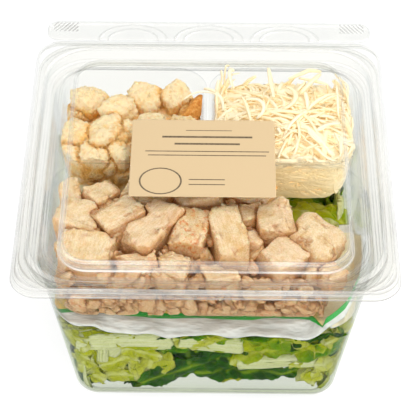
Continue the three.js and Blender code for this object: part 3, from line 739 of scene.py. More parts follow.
def make_tub(material):
    flange = PACK_WIDTH / 2 - 2.6
    low = SKIRT_BOTTOM + 0.5
    outside = rounded([
        key(wall_half(LEDGE - 3), LEDGE - 3, wall_corner(LEDGE)),
        key(wall_half(LEDGE), LEDGE - SHEET, wall_corner(LEDGE)),
        key(MOUTH_HALF, LEDGE, 24),
        key(MOUTH_HALF, TUB_FLANGE_TOP - SHEET, 24, PLUG_BOW),
        key(flange - SHEET, TUB_FLANGE_TOP - SHEET, 22),
        key(flange - SHEET, low, 22),
    ], 0.9)
    inside = rounded([
        key(flange, low, 22),
        key(flange, TUB_FLANGE_TOP, 22),
        key(MOUTH_HALF - SHEET, TUB_FLANGE_TOP, 23, PLUG_BOW),
        key(MOUTH_HALF - SHEET, LEDGE + SHEET, 23),
        key(wall_half(LEDGE) - SHEET, LEDGE, wall_corner(LEDGE) - SHEET),
        key(wall_half(LEDGE - 3) - SHEET, LEDGE - 3, wall_corner(LEDGE) - SHEET),
    ], 0.9)
    keys = tighten(wall_keys(0)[:-1] + outside + inside + wall_keys(SHEET)[:-1][::-1])
    piece = add_mesh("tub_shell", *loft(rings_from(keys)), material, facts=bends(keys))
    place(piece, "clear_plastic", "tub")


def make_lid(material):
    middle = (PANEL_FRONT + PANEL_BACK) / 2
    deep = (PANEL_BACK - PANEL_FRONT) / 2

    def face(drop):
        """The profile from the skirt's foot to the panel, drop under the lid's upper face."""
        skirt = PACK_WIDTH / 2 - drop

        def panel(grow, z):
            more = grow - drop
            return key(PANEL_HALF_X + more, z - drop, PANEL_CORNER + more, 0, deep + more, middle)

        return rounded([
            key(skirt, SKIRT_BOTTOM, 14 - drop),
            key(skirt - 1.2, LIP_TOP - 0.7 - drop, 13 - drop),
            key(skirt - 2, LIP_TOP - drop, 12.4 - drop),
            key(PLUG_HALF + 1 + drop, LIP_TOP - drop, 24, PLUG_BOW),
            key(PLUG_HALF - 0.2 + drop, LIP_TOP - 1.2 - drop, 24, PLUG_BOW),
            key(80.6 + drop, GUTTER - 0.6 - drop, 24, 0.4),
            key(79.4 + drop, GUTTER - 0.9 - drop, 24, 0.4),
            panel(3, GUTTER),
            panel(1.3, GUTTER + 0.4),
            panel(0.4, LIP_TOP - 0.8),
            panel(-0.6, LIP_TOP),
            panel(-4, LIP_TOP),
        ], 0.8)

    keys = tighten(face(SHEET)[::-1] + face(0))
    # Painted grey shade over the lid's outer rings: the radii, and how much at each
    spread = (68, 71, 73, 79, 81, 86, 88, 93, 95)
    grey_shades = (0, 0.08, 0.1, 0.03, 0.16, 0.24, 0.18, 0.18, 0.08)
    piece = add_mesh("lid_shell", *loft(rings_from(keys)), material, facts=bends(keys, spread, grey_shades))
    place(piece, "clear_plastic", "lid")


def make_tray(material):
    """The flange with three pockets: each a shell of its own in one mesh, joined at the top."""
    meshes = []
    for left, right, front, back in POCKETS.values():
        x, y = (left + right) / 2, (front + back) / 2
        half_x, half_y = (right - left) / 2, (back - front) / 2

        def level(z, pull, inset=0):
            corner = max(POCKET_CORNER - inset - pull / 2, 2)
            return ring(half_x - inset - pull, z, corner, half_y - inset - pull, y, x=x)

        def lean(z):
            return POCKET_DRAFT * (TRAY_TOP - z) / (TRAY_TOP - POCKET_FLOOR)

        def wall(inset):
            floor = POCKET_FLOOR + inset
            rings = [level(floor, POCKET_DRAFT + POCKET_FILLET + 3, inset)]
            for step in range(8):
                angle = step * math.pi / 14
                z = floor + POCKET_FILLET * (1 - math.cos(angle))
                rings.append(level(z, lean(z) + POCKET_FILLET * (1 - math.sin(angle)), inset))
            return rings + [level(z, lean(z), inset) for z in (88, 96, TRAY_TOP - 2.2)]

        # Over the wall's top and under the rim: how far down and how far in
        lip = [(1.2, 0.1), (0.4, -0.1), (0, -0.7), (0, -2.2), (0.7, -2.2), (1.4, -0.9)]
        rings = wall(0) + [level(TRAY_TOP - down, pull) for down, pull in lip] + wall(-TRAY_SHEET)[::-1]
        meshes.append(loft([r[::-1] for r in rings]))
    rim = rings_from(rounded([
        key(POCKET_EDGE + 0.6, TRAY_TOP - TRAY_SHEET, 14),
        key(TRAY_FLANGE_HALF, TRAY_TOP - TRAY_SHEET, 22),
        key(TRAY_FLANGE_HALF, TRAY_TOP, 22),
        key(POCKET_EDGE + 0.6, TRAY_TOP, 14),
    ], 0.3))
    points, faces = loft(rim + rim[:1], caps=False)
    keep = len(rim) * len(rim[0])
    meshes.append((points[:keep], [[i % keep for i in f] for f in faces]))
    place(add_mesh("tray_shell", *joined(meshes), material), "clear_plastic", "tray")


def make_strip(material):
    """The tear strip: a folded sheet with round ends, ribbed grips and pressed arcs."""
    nx, ny = 480, 30
    half_depth = (STRIP_BACK - STRIP_FRONT) / 2
    middle = (STRIP_BACK + STRIP_FRONT) / 2
    radius = 7.0
    u, v = unit_grid(nx, ny)
    x = u * STRIP_HALF
    over_x = np.clip(np.abs(x) - (STRIP_HALF - radius), 0, None)
    limit = half_depth - radius + np.sqrt(np.clip(radius**2 - over_x**2, 0, None))
    y = v * np.minimum(limit, half_depth)
    relief = np.zeros_like(x)
    for centre in (-42.0, 0.0, 42.0):
        away = np.hypot((x - centre) / 1.45, y + 9.0)
        for reach in (9.5, 13.0):
            relief += 0.5 * np.exp(-((away - reach) / 0.45) ** 2)
    # Painted dark lines along the pressed arcs and on the grips' ribs
    shade_line = 0.35 * np.clip(relief, 0, 1)
    grip = (np.abs(x) > STRIP_HALF - 17) & (np.abs(x) < STRIP_HALF - 3.5) & (y > -1.5) & (y < 6)
    slant = np.sin((np.abs(x) * 0.82 + y * 0.57) * 2 * np.pi / 1.9)
    relief += np.where(grip, 0.3 * np.clip(slant, -0.2, 1), 0)
    shade_line = np.where(grip, 0.5 * (slant > 0.1), shade_line).ravel()
    edge = np.clip(np.minimum(half_depth - np.abs(v) * half_depth, STRIP_HALF - np.abs(x)), 0, None)
    top = STRIP_TOP - 0.5 * np.exp(-edge / 0.8) + relief * np.clip(edge / 1.2, 0, 1)
    bottom = np.full_like(top, STRIP_BOTTOM)
    heights = (np.minimum(top, STRIP_TOP + 0.35), top - STRIP_SHEET, bottom + STRIP_SHEET, bottom)
    points = np.concatenate([np.stack([x, y + middle, z], -1).reshape(-1, 3) for z in heights])
    # The upper sheet and the lower one are open at the back, where the fold joins them
    index, quads, path, after = grid_faces(nx, ny)
    total = nx * ny
    faces = [quads, quads[:, ::-1] + total, quads + 2 * total, quads[:, ::-1] + 3 * total]
    back = index[:, -1]
    closed = ~(np.isin(path, back) & np.isin(after, back))
    for a in (0, 2 * total):
        b = a + total
        faces.append(np.stack([path + b, after + b, after + a, path + a], 1)[closed])
    for low, high, turn in ((3 * total, 0, -1), (2 * total, total, 1)):
        fold = np.stack([back[:-1] + low, back[1:] + low, back[1:] + high, back[:-1] + high], 1)
        faces.append(fold[:, ::turn])
    levels = np.arange(4) * total
    faces.append(np.stack([back[0] + levels, back[-1] + levels[::-1]]))
    facts = {"shade_line": np.concatenate([shade_line, np.zeros(3 * total)])}
    piece = add_mesh("tear_strip_shell", points, np.concatenate(faces), material, facts=facts)
    place(piece, "clear_plastic", "tear_strip")


# ---------------------------------------------------------------- stage and light


def make_stage():
    n = new_material("floor_paint")
    colour = n.mix(n.noise(n.place(), 0.02, 2.0), (0.31, 0.31, 0.31, 1), (0.29, 0.29, 0.29, 1))
    paint = n.paint(colour, 0.9, Specular_IOR_Level=0.0, Emission_Color=(1, 1, 1, 1), Emission_Strength=0.76)
    size = 4000.0
    points = [(-size, -size, 0), (size, -size, 0), (size, size, 0), (-size, size, 0)]
    floor = add_mesh("floor", points, [(0, 1, 2, 3)], n.finish(paint), smooth=False)
    world = bpy.data.worlds.new("studio")
    bpy.context.scene.world = world
    n = Nodes(world)
    height = n.split(n.node("TexCoord", "Generated"))[2]
    shades = ((0.0, 0.42), (0.30, 0.62), (0.55, 0.95), (1.0, 1.0))
    sky = n.ramp(height, *[(spot, (shade, shade, shade * 1.02, 1)) for spot, shade in shades])
    strength = n.range(n.node("LightPath", "Is Glossy Ray"), 0.0, 1.0, 0.62, 0.75)
    n.finish(n.node("Background", Color=sky, Strength=strength))


LIT_SPOT = Vector((0, 0, 60))


def add_light(name, at, size, power, colour=(1, 1, 1)):
    data = bpy.data.lights.new(name, "AREA")
    data.shape = "RECTANGLE"
    data.size, data.size_y = size
    data.energy = power
    data.color = colour
    light = bpy.data.objects.new(name, data)
    light.location = Vector(at) * MM
    light.rotation_euler = (LIT_SPOT - Vector(at)).to_track_quat("-Z", "Y").to_euler()
    bpy.context.collection.objects.link(light)


make_stage()
add_light("key", (380, 340, 900), (0.5, 0.5), 3.8, (1.0, 0.985, 0.96))
add_light("overhead", (-150, -250, 1200), (0.9, 0.9), 2.4)
add_light("left", (-900, -100, 420), (0.2, 0.9), 2.4)
add_light("right", (900, -50, 420), (0.2, 0.9), 2.8)
add_light("front", (60, -1000, 640), (1.0, 0.5), 7.0)

# ---------------------------------------------------------------- label


def make_label():
    """Tan paper with plain rules where a real label has its words."""
    n = new_material("label_paper")
    spot = n.place()
    x, y, _ = n.split(spot)
    fibre = n.noise(n.stretch(spot, 1.0, 3.0, 1.0), 1.6, 4.0)
    paper = n.mix(fibre, rgb(200, 175, 135), rgb(205, 180, 141))

    def band(value, middle, half):
        return n.math("LESS_THAN", n.math("ABSOLUTE", n.minus(value, middle)), half)

    # The ring, then the rules: each rule's height over the middle, its half width and half height
    dx = n.times(n.minus(x, LABEL_AT[0] - 21.5), 0.98)
    dy = n.times(n.minus(y, LABEL_AT[1] - 17.6), 1.1)
    ink = band(n.math("SQRT", n.plus(n.times(dx, dx), n.times(dy, dy))), 10.3, 0.45)
    for row, shift, half_width, half_height in (
        (20.6, 2.9, 12.0, 0.25), (15.6, 2.1, 23.5, 0.7), (10.3, 2.1, 17.0, 0.7), (4.6, 2.1, 32.0, 0.35),
        (1.6, 2.1, 30.5, 0.35), (-16.4, 2.1, 9.2, 0.35), (-20.0, 2.1, 9.2, 0.35),
    ):
        rule = n.times(band(y, LABEL_AT[1] + row, half_height), band(x, LABEL_AT[0] + shift, half_width))
        ink = n.most(ink, rule)
    press = n.range(n.noise(spot, 0.9, 2.0), 0.3, 0.7, 0.7, 0.9)
    colour = n.mix(n.times(ink, press), paper, rgb(52, 40, 30))
    material = n.finish(n.paint(colour, 0.62, Specular_IOR_Level=0.25, Normal=n.bump(fibre, 0.03, 0.4)))
    bottom = LIP_TOP + 0.3
    top = bottom + LABEL_SHEET
    rings = [
        ring(LABEL_WIDTH / 2 - inset, z, 1.0, LABEL_DEPTH / 2 - inset, LABEL_AT[1], x=LABEL_AT[0])
        for z, inset in (
            (bottom, 0.5), (bottom, 0.05), (bottom + 0.05, 0), (top - 0.06, 0), (top, 0.06), (top, 0.6),
        )
    ]
    place(add_mesh("label_card", *loft(rings), material), "label_paper", "label")


# ---------------------------------------------------------------- chicken
CHUNKS = [
    dict(spot=(-43, -33), top=104.5, size=(24, 21), turn=35, tilt=-6),
    dict(spot=(-65, -33), top=103, size=(24, 19), turn=-20, tilt=4),
    dict(spot=(-60, -55), top=102, size=(28, 20), turn=-8, tilt=-4),
    dict(spot=(-27, -39), top=104.5, size=(34, 20), turn=52, tilt=-6),
    dict(spot=(-9, -41), top=104, size=(19, 27), turn=-10, tilt=4),
    dict(spot=(11, -44), top=104.5, size=(17, 38), turn=12, tilt=3),
    dict(spot=(35, -34), top=104, size=(18, 24), turn=10, tilt=-4),
    dict(spot=(55, -45), top=104, size=(28, 27), turn=-35, tilt=5, squareness=3.2),
    dict(spot=(38, -58), top=101.5, size=(22, 20), turn=40, tilt=4),
    dict(spot=(-54, -15), top=101, size=(18, 14), turn=40, tilt=8),
    dict(spot=(23, -28), top=100.5, size=(15, 13), turn=20),
    dict(spot=(24, -46), top=99, size=(11, 11), turn=65, tilt=12),
    dict(spot=(-34, -63), top=98.5, size=(20, 17), turn=12, tilt=-5),
    dict(spot=(-17, -64), top=98.5, size=(18, 16), turn=-18, tilt=4),
    dict(spot=(62, -66), top=96.5, size=(13, 12), turn=30, tilt=8, squareness=9.0),
    dict(spot=(8, -67), top=95, size=(19, 12), turn=8),
    dict(spot=(30, -71), top=92.5, size=(17, 9), turn=-6),
    dict(spot=(-71, -12), top=99.5, size=(11, 17), turn=10),
    dict(spot=(-31, -13), top=102, size=(25, 21), turn=-28, tilt=3),
    dict(spot=(-4, -14), top=103, size=(26, 20), turn=14, tilt=-4),
    dict(spot=(23, -11), top=98.5, size=(20, 17), turn=-30, tilt=4),
]


def meat_material():
    n = new_material("cooked_chicken")
    grain = n.vector("grain")
    tone = n.fact("tone")
    hollow_shade = n.fact("hollow_shade")
    fibres = n.noise(n.stretch(grain, 0.11, 1.35, 1.35), 1.0, 3.0, 0.6)
    patches = n.noise(grain, 0.13, 2.0)
    fine = n.noise(grain, 1.3, 3.0, 0.65)
    base = n.shades(
        patches, (0.30, 223, 192, 142), (0.45, 234, 210, 168), (0.58, 226, 195, 143), (0.72, 216, 174, 113),
    )
    base = n.mix(n.range(fibres, 0.5, 0.66, 0.0, 0.28), base, rgb(206, 160, 104))
    base = n.mix(n.range(fibres, 0.5, 0.34, 0.0, 0.28), base, rgb(247, 234, 206))
    base = n.mix(n.times(n.range(tone, 0.55, 1.0), 0.35), base, rgb(222, 188, 158))
    # Painted shade: faces that turn sideways or down are darker and warmer
    up = n.split(n.node("NewGeometry", "Normal"))[2]
    base = n.mix(n.range(up, 0.75, 0.1, 0.0, 0.5), base, rgb(224, 170, 106))
    # Painted shade: darker and warmer between chunks, low down, and in clefts and crumbs
    crevice_shade = n.fact("crevice_shade")
    base = n.mix(n.times(crevice_shade, 0.65), base, rgb(186, 128, 66))
    base = n.mix(n.range(hollow_shade, 0.0, 1.0, 0.0, 0.8), base, rgb(178, 114, 54))
    spots = n.times(n.range(n.noise(grain, 0.42, 2.0), 0.55, 0.66), n.fact("brown"))
    base = n.mix(n.times(spots, 0.8), base, rgb(212, 118, 34))
    speck = n.noise(n.stretch(grain, 0.5, 1.0, 1.0), 0.75, 3.0, 0.7)
    base = n.mix(n.range(speck, 0.50, 0.72, 0.0, 0.30), base, rgb(252, 232, 196))
    base = n.mix(n.range(speck, 0.48, 0.28, 0.0, 0.25), base, rgb(212, 152, 90))
    bump = n.bump(fibres, 0.55, 0.8)
    bump = n.bump(speck, 0.6, 0.8, bump)
    bump = n.bump(fine, 0.4, 0.8, bump)
    rough = n.range(fine, 0.3, 0.7, 0.18, 0.38)
    # Its emission between chunks is a painted glow that lifts the shade there
    paint = n.paint(
        base, rough, Specular_IOR_Level=0.7, Normal=bump,
        Subsurface_Weight=0.4, Subsurface_Radius=(1.0, 0.5, 0.22), Subsurface_Scale=0.003,
        Emission_Color=rgb(206, 130, 58), Emission_Strength=n.range(crevice_shade, 0.0, 1.0, 0.0, 0.045),
    )
    return n.finish(paint)


# How ragged a chunk is, and how browned
RAGGED = {
    0: 0.35, 3: 0.1, 4: 0.2, 5: 0.0, 7: 0.3, 8: 0.0, 10: 0.3, 11: 0.4,
    12: 0.5, 13: 0.5, 14: 0.5, 15: 0.5, 16: 0.5,
}
BROWNED = {4: 1.0, 12: 0.5, 14: 0.35, 11: 0.2}
# How high the chunks' feet are, and how near another chunk has to be to press on one
CHUNK_FOOT = BED_TOP + 0.9
NEIGHBOUR = 45
# More than any distance that a heap's surface or looks depend on
FAR = 9.0
# The groove where two lumps of a heap meet
GROOVE_WIDTH = 0.9
# What parts the looks of one lump from the next: a step in tone, and in the place its grain starts
GOLDEN = 0.618
MEAT_SHIFT = 3.7
BREAD_SHIFT = 5.1


def chunk_lumps():
    lumps = []
    for index, chunk in enumerate(CHUNKS):
        rest = {"squareness": 12.0, **chunk}
        spot, top, size = (rest.pop(name) for name in ("spot", "top", "size"))
        lumps.append(Lump(
            size=(*size, top - CHUNK_FOOT), at=(*spot, (top + CHUNK_FOOT) / 2),
            uneven=0.07, seed=40 + index, **rest,
        ))
    return lumps


def meat_relief(noise, lump, local, shift, ragged):
    """Uneven surface of torn meat: along the fibres, torn edges and clefts. Also how deep in clefts and
    crumbs each point lies, for the painted shade there.
    """
    fibres = (1.0, 0.2, 1.0) if lump.half[1] > 1.1 * lump.half[0] else (0.2, 1.0, 1.0)
    along = local * fibres + shift
    spot = local + shift
    far = np.sort(np.abs(local / lump.half), axis=1)[:, 1]
    torn = ease(noise(spot + 57.0, 7.0) + ragged + 0.5 * ease(far, 0.7, 1.05), 0.2, 0.55)
    swell = noise(spot, 12.0) * 0.7 + noise(spot, 5.0) * 0.2
    strands = 0.24 * noise(along, 2.1) + 0.2 * noise(along + 11.0, 1.2) + 0.22 * noise(spot + 19.0, 1.6)
    flakes = billow(noise, local * (0.6, 1.0, 1.0) + shift, 2.9)
    crumbs = 0.85 * flakes + 0.5 * billow(noise, spot + 5.0, 1.7)
    seam = np.abs(noise(along + 31.0, 4.4))
    cleft = ease(seam, 0.16, 0.0)
    relief = swell + strands + crumbs * torn - 0.8 * cleft * (0.1 + 0.9 * torn)
    hollow_shade = cleft * 0.8 * torn + np.clip(-crumbs, 0, 1) * 0.9 * torn
    return relief, np.clip(hollow_shade, 0, 1)


def make_chunks(material):
    lumps = chunk_lumps()
    noise = Noise(5)
    pitch = 0.82
    for index, lump in enumerate(lumps):
        reach = lump.reach() + 2.6
        low, counts, points = grid_over(lump.at - reach, lump.at + reach, pitch)
        distance = lump.field(points)
        near = np.abs(distance) < 4.5
        some = points[near]
        local = lump.local(some)
        shift = np.array([13.1, 7.7, 3.9]) * (index + 1)
        ragged = RAGGED.get(index, 0.05)
        values = distance[near]
        # Four flat cuts over its edges
        flats = np.random.default_rng(900 + index)
        for _ in range(4):
            way = flats.normal(size=3)
            way[2] = abs(way[2]) * 0.6
            way = unit(way)
            far = np.abs(way) @ lump.half
            values = np.maximum(values, local @ way - far * flats.uniform(0.72, 0.94))
        values = values - meat_relief(noise, lump, local, shift, ragged)[0] + 0.25
        beside = [other for other in lumps if 0 < np.linalg.norm(other.at - lump.at) < NEIGHBOUR]
        for earlier in beside:
            if lumps.index(earlier) < index:
                values = np.maximum(values, 0.35 - earlier.field(some) + 0.4 * noise(some, 6.0))
        values = np.maximum(values, pocket_field("chicken", some) + 0.15)
        distance[near] = np.maximum(values, BED_TOP - 1.5 - some[:, 2])
        verts, quads = surface_of(distance.reshape(counts), low, pitch)
        local = lump.local(verts)
        apart = np.minimum(FAR, np.min([other.field(verts) for other in beside], axis=0))
        facts = {
            "grain": np.roll(local, index % 3, axis=1) + shift,
            # Painted shade: darker where another chunk is near, lower down, and in clefts and crumbs
            "crevice_shade": np.clip(0.8 * ease(apart, 3.0, 0.2) + 0.7 * ease(verts[:, 2], 99.0, 88.0), 0, 1),
            "tone": np.full(len(verts), (index * GOLDEN) % 1.0),
            "hollow_shade": meat_relief(noise, lump, local, shift, ragged)[1],
            "brown": np.full(len(verts), BROWNED.get(index, 0.0)),
        }
        piece = add_mesh(f"chicken_piece_{index + 1}", verts, quads, material, facts=facts)
        place(piece, "chicken", f"chicken_chunk_{index + 1}")


def heap(lumps, low, high, pitch, relief, cut, groove=1.0):
    """
    The surface of many lumps together, with a groove where two meet, cut off by cut. Also each
    point's lump and how near the next lump is.
    """
    low, counts, points = grid_over(low, high, pitch)
    grid = points.reshape(*counts, 3)
    first = np.full(counts, FAR)
    second = np.full(counts, FAR)
    owner = np.zeros(counts, int)
    for index, lump in enumerate(lumps):
        reach = lump.reach() + 3.0
        start = np.clip(np.floor((lump.at - reach - low) / pitch).astype(int), 0, counts - 1)
        stop = np.clip(np.ceil((lump.at + reach - low) / pitch).astype(int) + 1, 1, counts)
        if (stop <= start).any():
            continue
        block = tuple(slice(a, b) for a, b in zip(start, stop))
        some = grid[block].reshape(-1, 3)
        value = lump.field(some)
        near = np.abs(value) < 3.5
        value[near] -= relief(index, lump, some[near])
        value = value.reshape(stop - start)
        old = first[block]
        newer = value < old
        second[block] = np.where(newer, old, np.minimum(second[block], value))
        first[block] = np.where(newer, value, old)
        owner[block] = np.where(newer, index, owner[block])
    apart = second - first
    field = first + groove * np.exp(-((apart / GROOVE_WIDTH) ** 2))
    verts, quads = surface_of(cut(points, field.ravel()).reshape(counts), low, pitch)
    cell = np.clip(np.round((verts - low) / pitch).astype(int), 0, counts - 1)
    return verts, quads, owner[tuple(cell.T)], apart[tuple(cell.T)]


def meat_heap(lumps, low, high, pitch, cut, noise, ragged, share, groove=1.0):
    """A heap of torn meat: its points and quads, and the values that its material reads."""
    def relief(index, lump, some):
        return meat_relief(noise, lump, lump.local(some), index * MEAT_SHIFT, ragged)[0] * share

    verts, quads, own, apart = heap(lumps, low, high, pitch, relief, cut, groove)
    local = np.zeros_like(verts)
    hollow_shade = np.zeros(len(verts))
    for index, lump in enumerate(lumps):
        mine = own == index
        if mine.any():
            local[mine] = lump.local(verts[mine])
            hollow_shade[mine] = meat_relief(noise, lump, local[mine], index * MEAT_SHIFT, ragged)[1]
            local[mine] += index * MEAT_SHIFT
    return verts, quads, {
        "grain": local,
        "tone": (own * GOLDEN) % 1.0,
        # Painted shade: darker in clefts and crumbs, and between lumps
        "hollow_shade": np.clip(hollow_shade + 0.1, 0, 1),
        "brown": np.where((own * 0.37) % 1.0 > 0.8, 0.8, 0.0),
        "crevice_shade": np.clip(0.25 + 0.75 * ease(apart, 2.4, 0.2), 0, 1),
    }


# Outline of the torn chicken seen from above: the pocket's floor is bare beyond it
BED_OUTLINE = [
    (-80, -80), (58, -80), (63, -62), (63, -40), (60, -30), (40, -25), (30, -14), (27, 3), (-80, 3),
]


def outside_bed(points):
    """Distance past the bed's outline, below zero inside, seen from above."""
    outline = np.array(BED_OUTLINE, float)
    after = np.roll(outline, -1, 0)
    flat = points[:, :2]
    nearest = np.full(len(flat), 1e9)
    inside = np.zeros(len(flat), bool)
    for a, b in zip(outline, after):
        edge = b - a
        share = np.clip(((flat - a) @ edge) / (edge @ edge), 0, 1)
        nearest = np.minimum(nearest, np.linalg.norm(flat - a - share[:, None] * edge, axis=1))
        crosses = (a[1] > flat[:, 1]) != (b[1] > flat[:, 1])
        if edge[1]:
            inside ^= crosses & (flat[:, 0] < a[0] + edge[0] * (flat[:, 1] - a[1]) / edge[1])
    return np.where(inside, -nearest, nearest)


def make_bed(material):
    """Torn chicken under the chunks, pressed to the pocket's walls."""
    left, right, front, back = POCKETS["chicken"]
    rng = np.random.default_rng(77)
    draw = rng.uniform
    lumps = [Lump(
        size=(right - left - 18, back - front - 18, 17), at=((left + right) / 2, (front + back) / 2, 75.0),
        squareness=6, uneven=0.02, seed=1,
    )]
    for count, spot, size in (
        (84, lambda: (draw(left + 6, right - 14), front + draw(4.5, 9), draw(68.5, 83)), (8, 16)),
        (24, lambda: (left + draw(5, 9), draw(front + 9, back - 6), draw(69, 83)), (8, 14)),
        (24, lambda: (right - draw(5, 9), draw(front + 9, back - 6), draw(69, 83)), (8, 14)),
        (34, lambda: (draw(left + 8, right - 8), back - draw(4, 9), draw(69, 83)), (9, 14)),
        (60, lambda: (draw(left + 9, right - 9), draw(front + 9, back - 8), draw(80, 83.5)), (8, 15)),
    ):
        for _ in range(count):
            at = spot()
            long = draw(*size)
            lumps.append(Lump(
                size=(long, long * draw(0.35, 0.7), long * draw(0.3, 0.6)), at=at,
                turn=draw(0, 180), tilt=draw(-60, 60), roll=draw(-60, 60),
                squareness=draw(2.4, 4.5), uneven=0.12, seed=int(rng.integers(1, 9999)),
            ))

    noise = Noise(9)

    def cut(points, field):
        z = points[:, 2]
        ragged = outside_bed(points) + 1.5 * noise(points, 7.0) + 0.12 * (z - POCKET_FLOOR)
        return np.maximum.reduce([field, pocket_field("chicken", points) + 0.1, z - BED_TOP, ragged])

    verts, quads, facts = meat_heap(
        lumps, (left, front, POCKET_FLOOR - 1), (right, back, BED_TOP + 1.5),
        0.92, cut, noise, ragged=0.3, share=0.8,
    )
    place(add_mesh("torn_chicken", verts, quads, material, facts=facts), "chicken", "chicken_shreds")


# Small torn bits that fill the gaps between the chunks: x, y, z, length
BITS = [
    (-48, -70, 93, 12), (-40, -71, 96, 13), (-31, -72, 96, 12), (-22, -72, 97, 13), (-12, -71, 95, 12),
    (-4, -71, 92, 11), (-49, -45, 95, 12), (-46, -52, 92, 11), (-57, -42, 94, 10), (-42, -18, 96, 13),
    (-52, -24, 98, 11), (-38, -25, 95, 12), (-16, -27, 95, 12), (1, -28, 94, 12), (10, -20, 93, 12),
    (-1, -55, 93, 11), (-18, -53, 93, 11), (-10, -57, 91, 10), (22, -37, 94, 9), (26, -52, 93, 10),
    (21, -58, 92, 10), (44, -47, 92, 11), (30, -25, 94, 12), (53, -65, 92, 11), (47, -70, 90, 11),
    (14, -71, 91, 11), (22, -72, 90, 10), (38, -72, 89, 11), (-70, -68, 90, 11), (-66, -20, 92, 12),
    (-75, -45, 90, 10), (-16, -8, 95, 12), (12, -8, 94, 12), (0, -41, 92, 10), (-36, -50, 93, 12),
]


def make_bits(material):
    rng = np.random.default_rng(18)
    draw = rng.uniform
    lumps = []
    for x, y, z, long in BITS:
        for _ in range(2):
            size = long * draw(0.8, 1.1)
            lumps.append(Lump(
                size=(size, size * draw(0.5, 0.8), size * draw(0.4, 0.7)),
                at=(x + draw(-2, 2), y + draw(-2, 2), z + draw(-3, 1)),
                turn=draw(0, 180), tilt=draw(-60, 60), roll=draw(-60, 60),
                squareness=2.8, uneven=0.15, seed=int(rng.integers(1, 9999)),
            ))
    chunks = chunk_lumps()

    def cut(points, field):
        near = field < 1.2
        some = points[near]
        limits = [pocket_field("chicken", some) + 0.15, BED_TOP - 0.3 - some[:, 2]]
        limits += [-0.6 - chunk.field(some) for chunk in chunks]
        field[near] = np.maximum.reduce([field[near], *limits])
        return field

    left, right, front, back = POCKETS["chicken"]
    verts, quads, facts = meat_heap(
        lumps, (left, front, BED_TOP - 1), (right, back, 104),
        0.9, cut, Noise(15), ragged=0.4, share=0.85, groove=0.8,
    )
    shadows = [ease(chunk.field(verts), 2.6, 0.2) for chunk in chunks]
    facts["crevice_shade"] = np.maximum.reduce([facts["crevice_shade"], *shadows])
    place(add_mesh("chicken_bits", verts, quads, material, facts=facts), "chicken")


# ---------------------------------------------------------------- croutons
TOP_CROUTONS = [
    (-66, 60, 93), (-48, 50, 95), (-35, 62, 92), (-17, 64, 92), (-9, 51, 95), (-55, 29, 97), (-70, 30, 95),
    (-43, 27, 96), (-59, 14, 93), (-44, 17, 94), (-71, 14, 90), (-30, 34, 97), (-15, 33, 96), (-29, 15, 94),
    (-13, 16, 93),
]


def bread_material():
    n = new_material("toasted_bread")
    grain = n.vector("grain")
    pore = n.fact("hollow_shade")
    toast_and_shade = n.fact("toast_and_shade")
    crust = n.fact("crust")
    mottle = n.noise(grain, 0.30, 3.0, 0.6)
    fine = n.noise(grain, 1.7, 3.0, 0.7)
    # How toasted, mottled at random, with painted shade under each crouton and painted light low in the heap
    shade = n.plus(toast_and_shade, n.times(n.minus(mottle, 0.5), 0.7), clamp=True)
    base = n.shades(
        shade, (0.0, 246, 226, 182), (0.32, 242, 210, 150), (0.62, 236, 184, 98), (1.0, 218, 146, 52),
    )
    base = n.mix(n.times(n.range(fine, 0.45, 0.7), 0.14), base, rgb(232, 172, 84))
    # Painted shade: golden in the gaps between croutons and in their pores
    crevice_shade = n.fact("crevice_shade")
    base = n.mix(n.times(crevice_shade, 0.8), base, rgb(230, 170, 84))
    base = n.mix(n.times(pore, 0.35), base, rgb(222, 150, 60))
    rough = n.noise(grain, 0.55, 4.0, 0.7)
    rind = n.shades(rough, (0.3, 186, 112, 44), (0.5, 214, 144, 66), (0.7, 234, 184, 112))
    base = n.mix(crust, base, rind)
    bump = n.bump(fine, 0.45, 0.8)
    bump = n.bump(n.noise(grain, 0.7, 2.0), 1.3, 0.8, bump)
    # Its emission in the gaps between croutons is a painted glow that lifts the shade there
    paint = n.paint(
        base, 0.86, Specular_IOR_Level=0.2, Normal=bump,
        Subsurface_Weight=0.3, Subsurface_Radius=(1.0, 0.62, 0.3), Subsurface_Scale=0.003,
        Emission_Color=rgb(224, 164, 76), Emission_Strength=n.range(crevice_shade, 0.0, 1.0, 0.0, 0.08),
    )
    return n.finish(paint)


CRUST_AT = (-9, 51, 95)


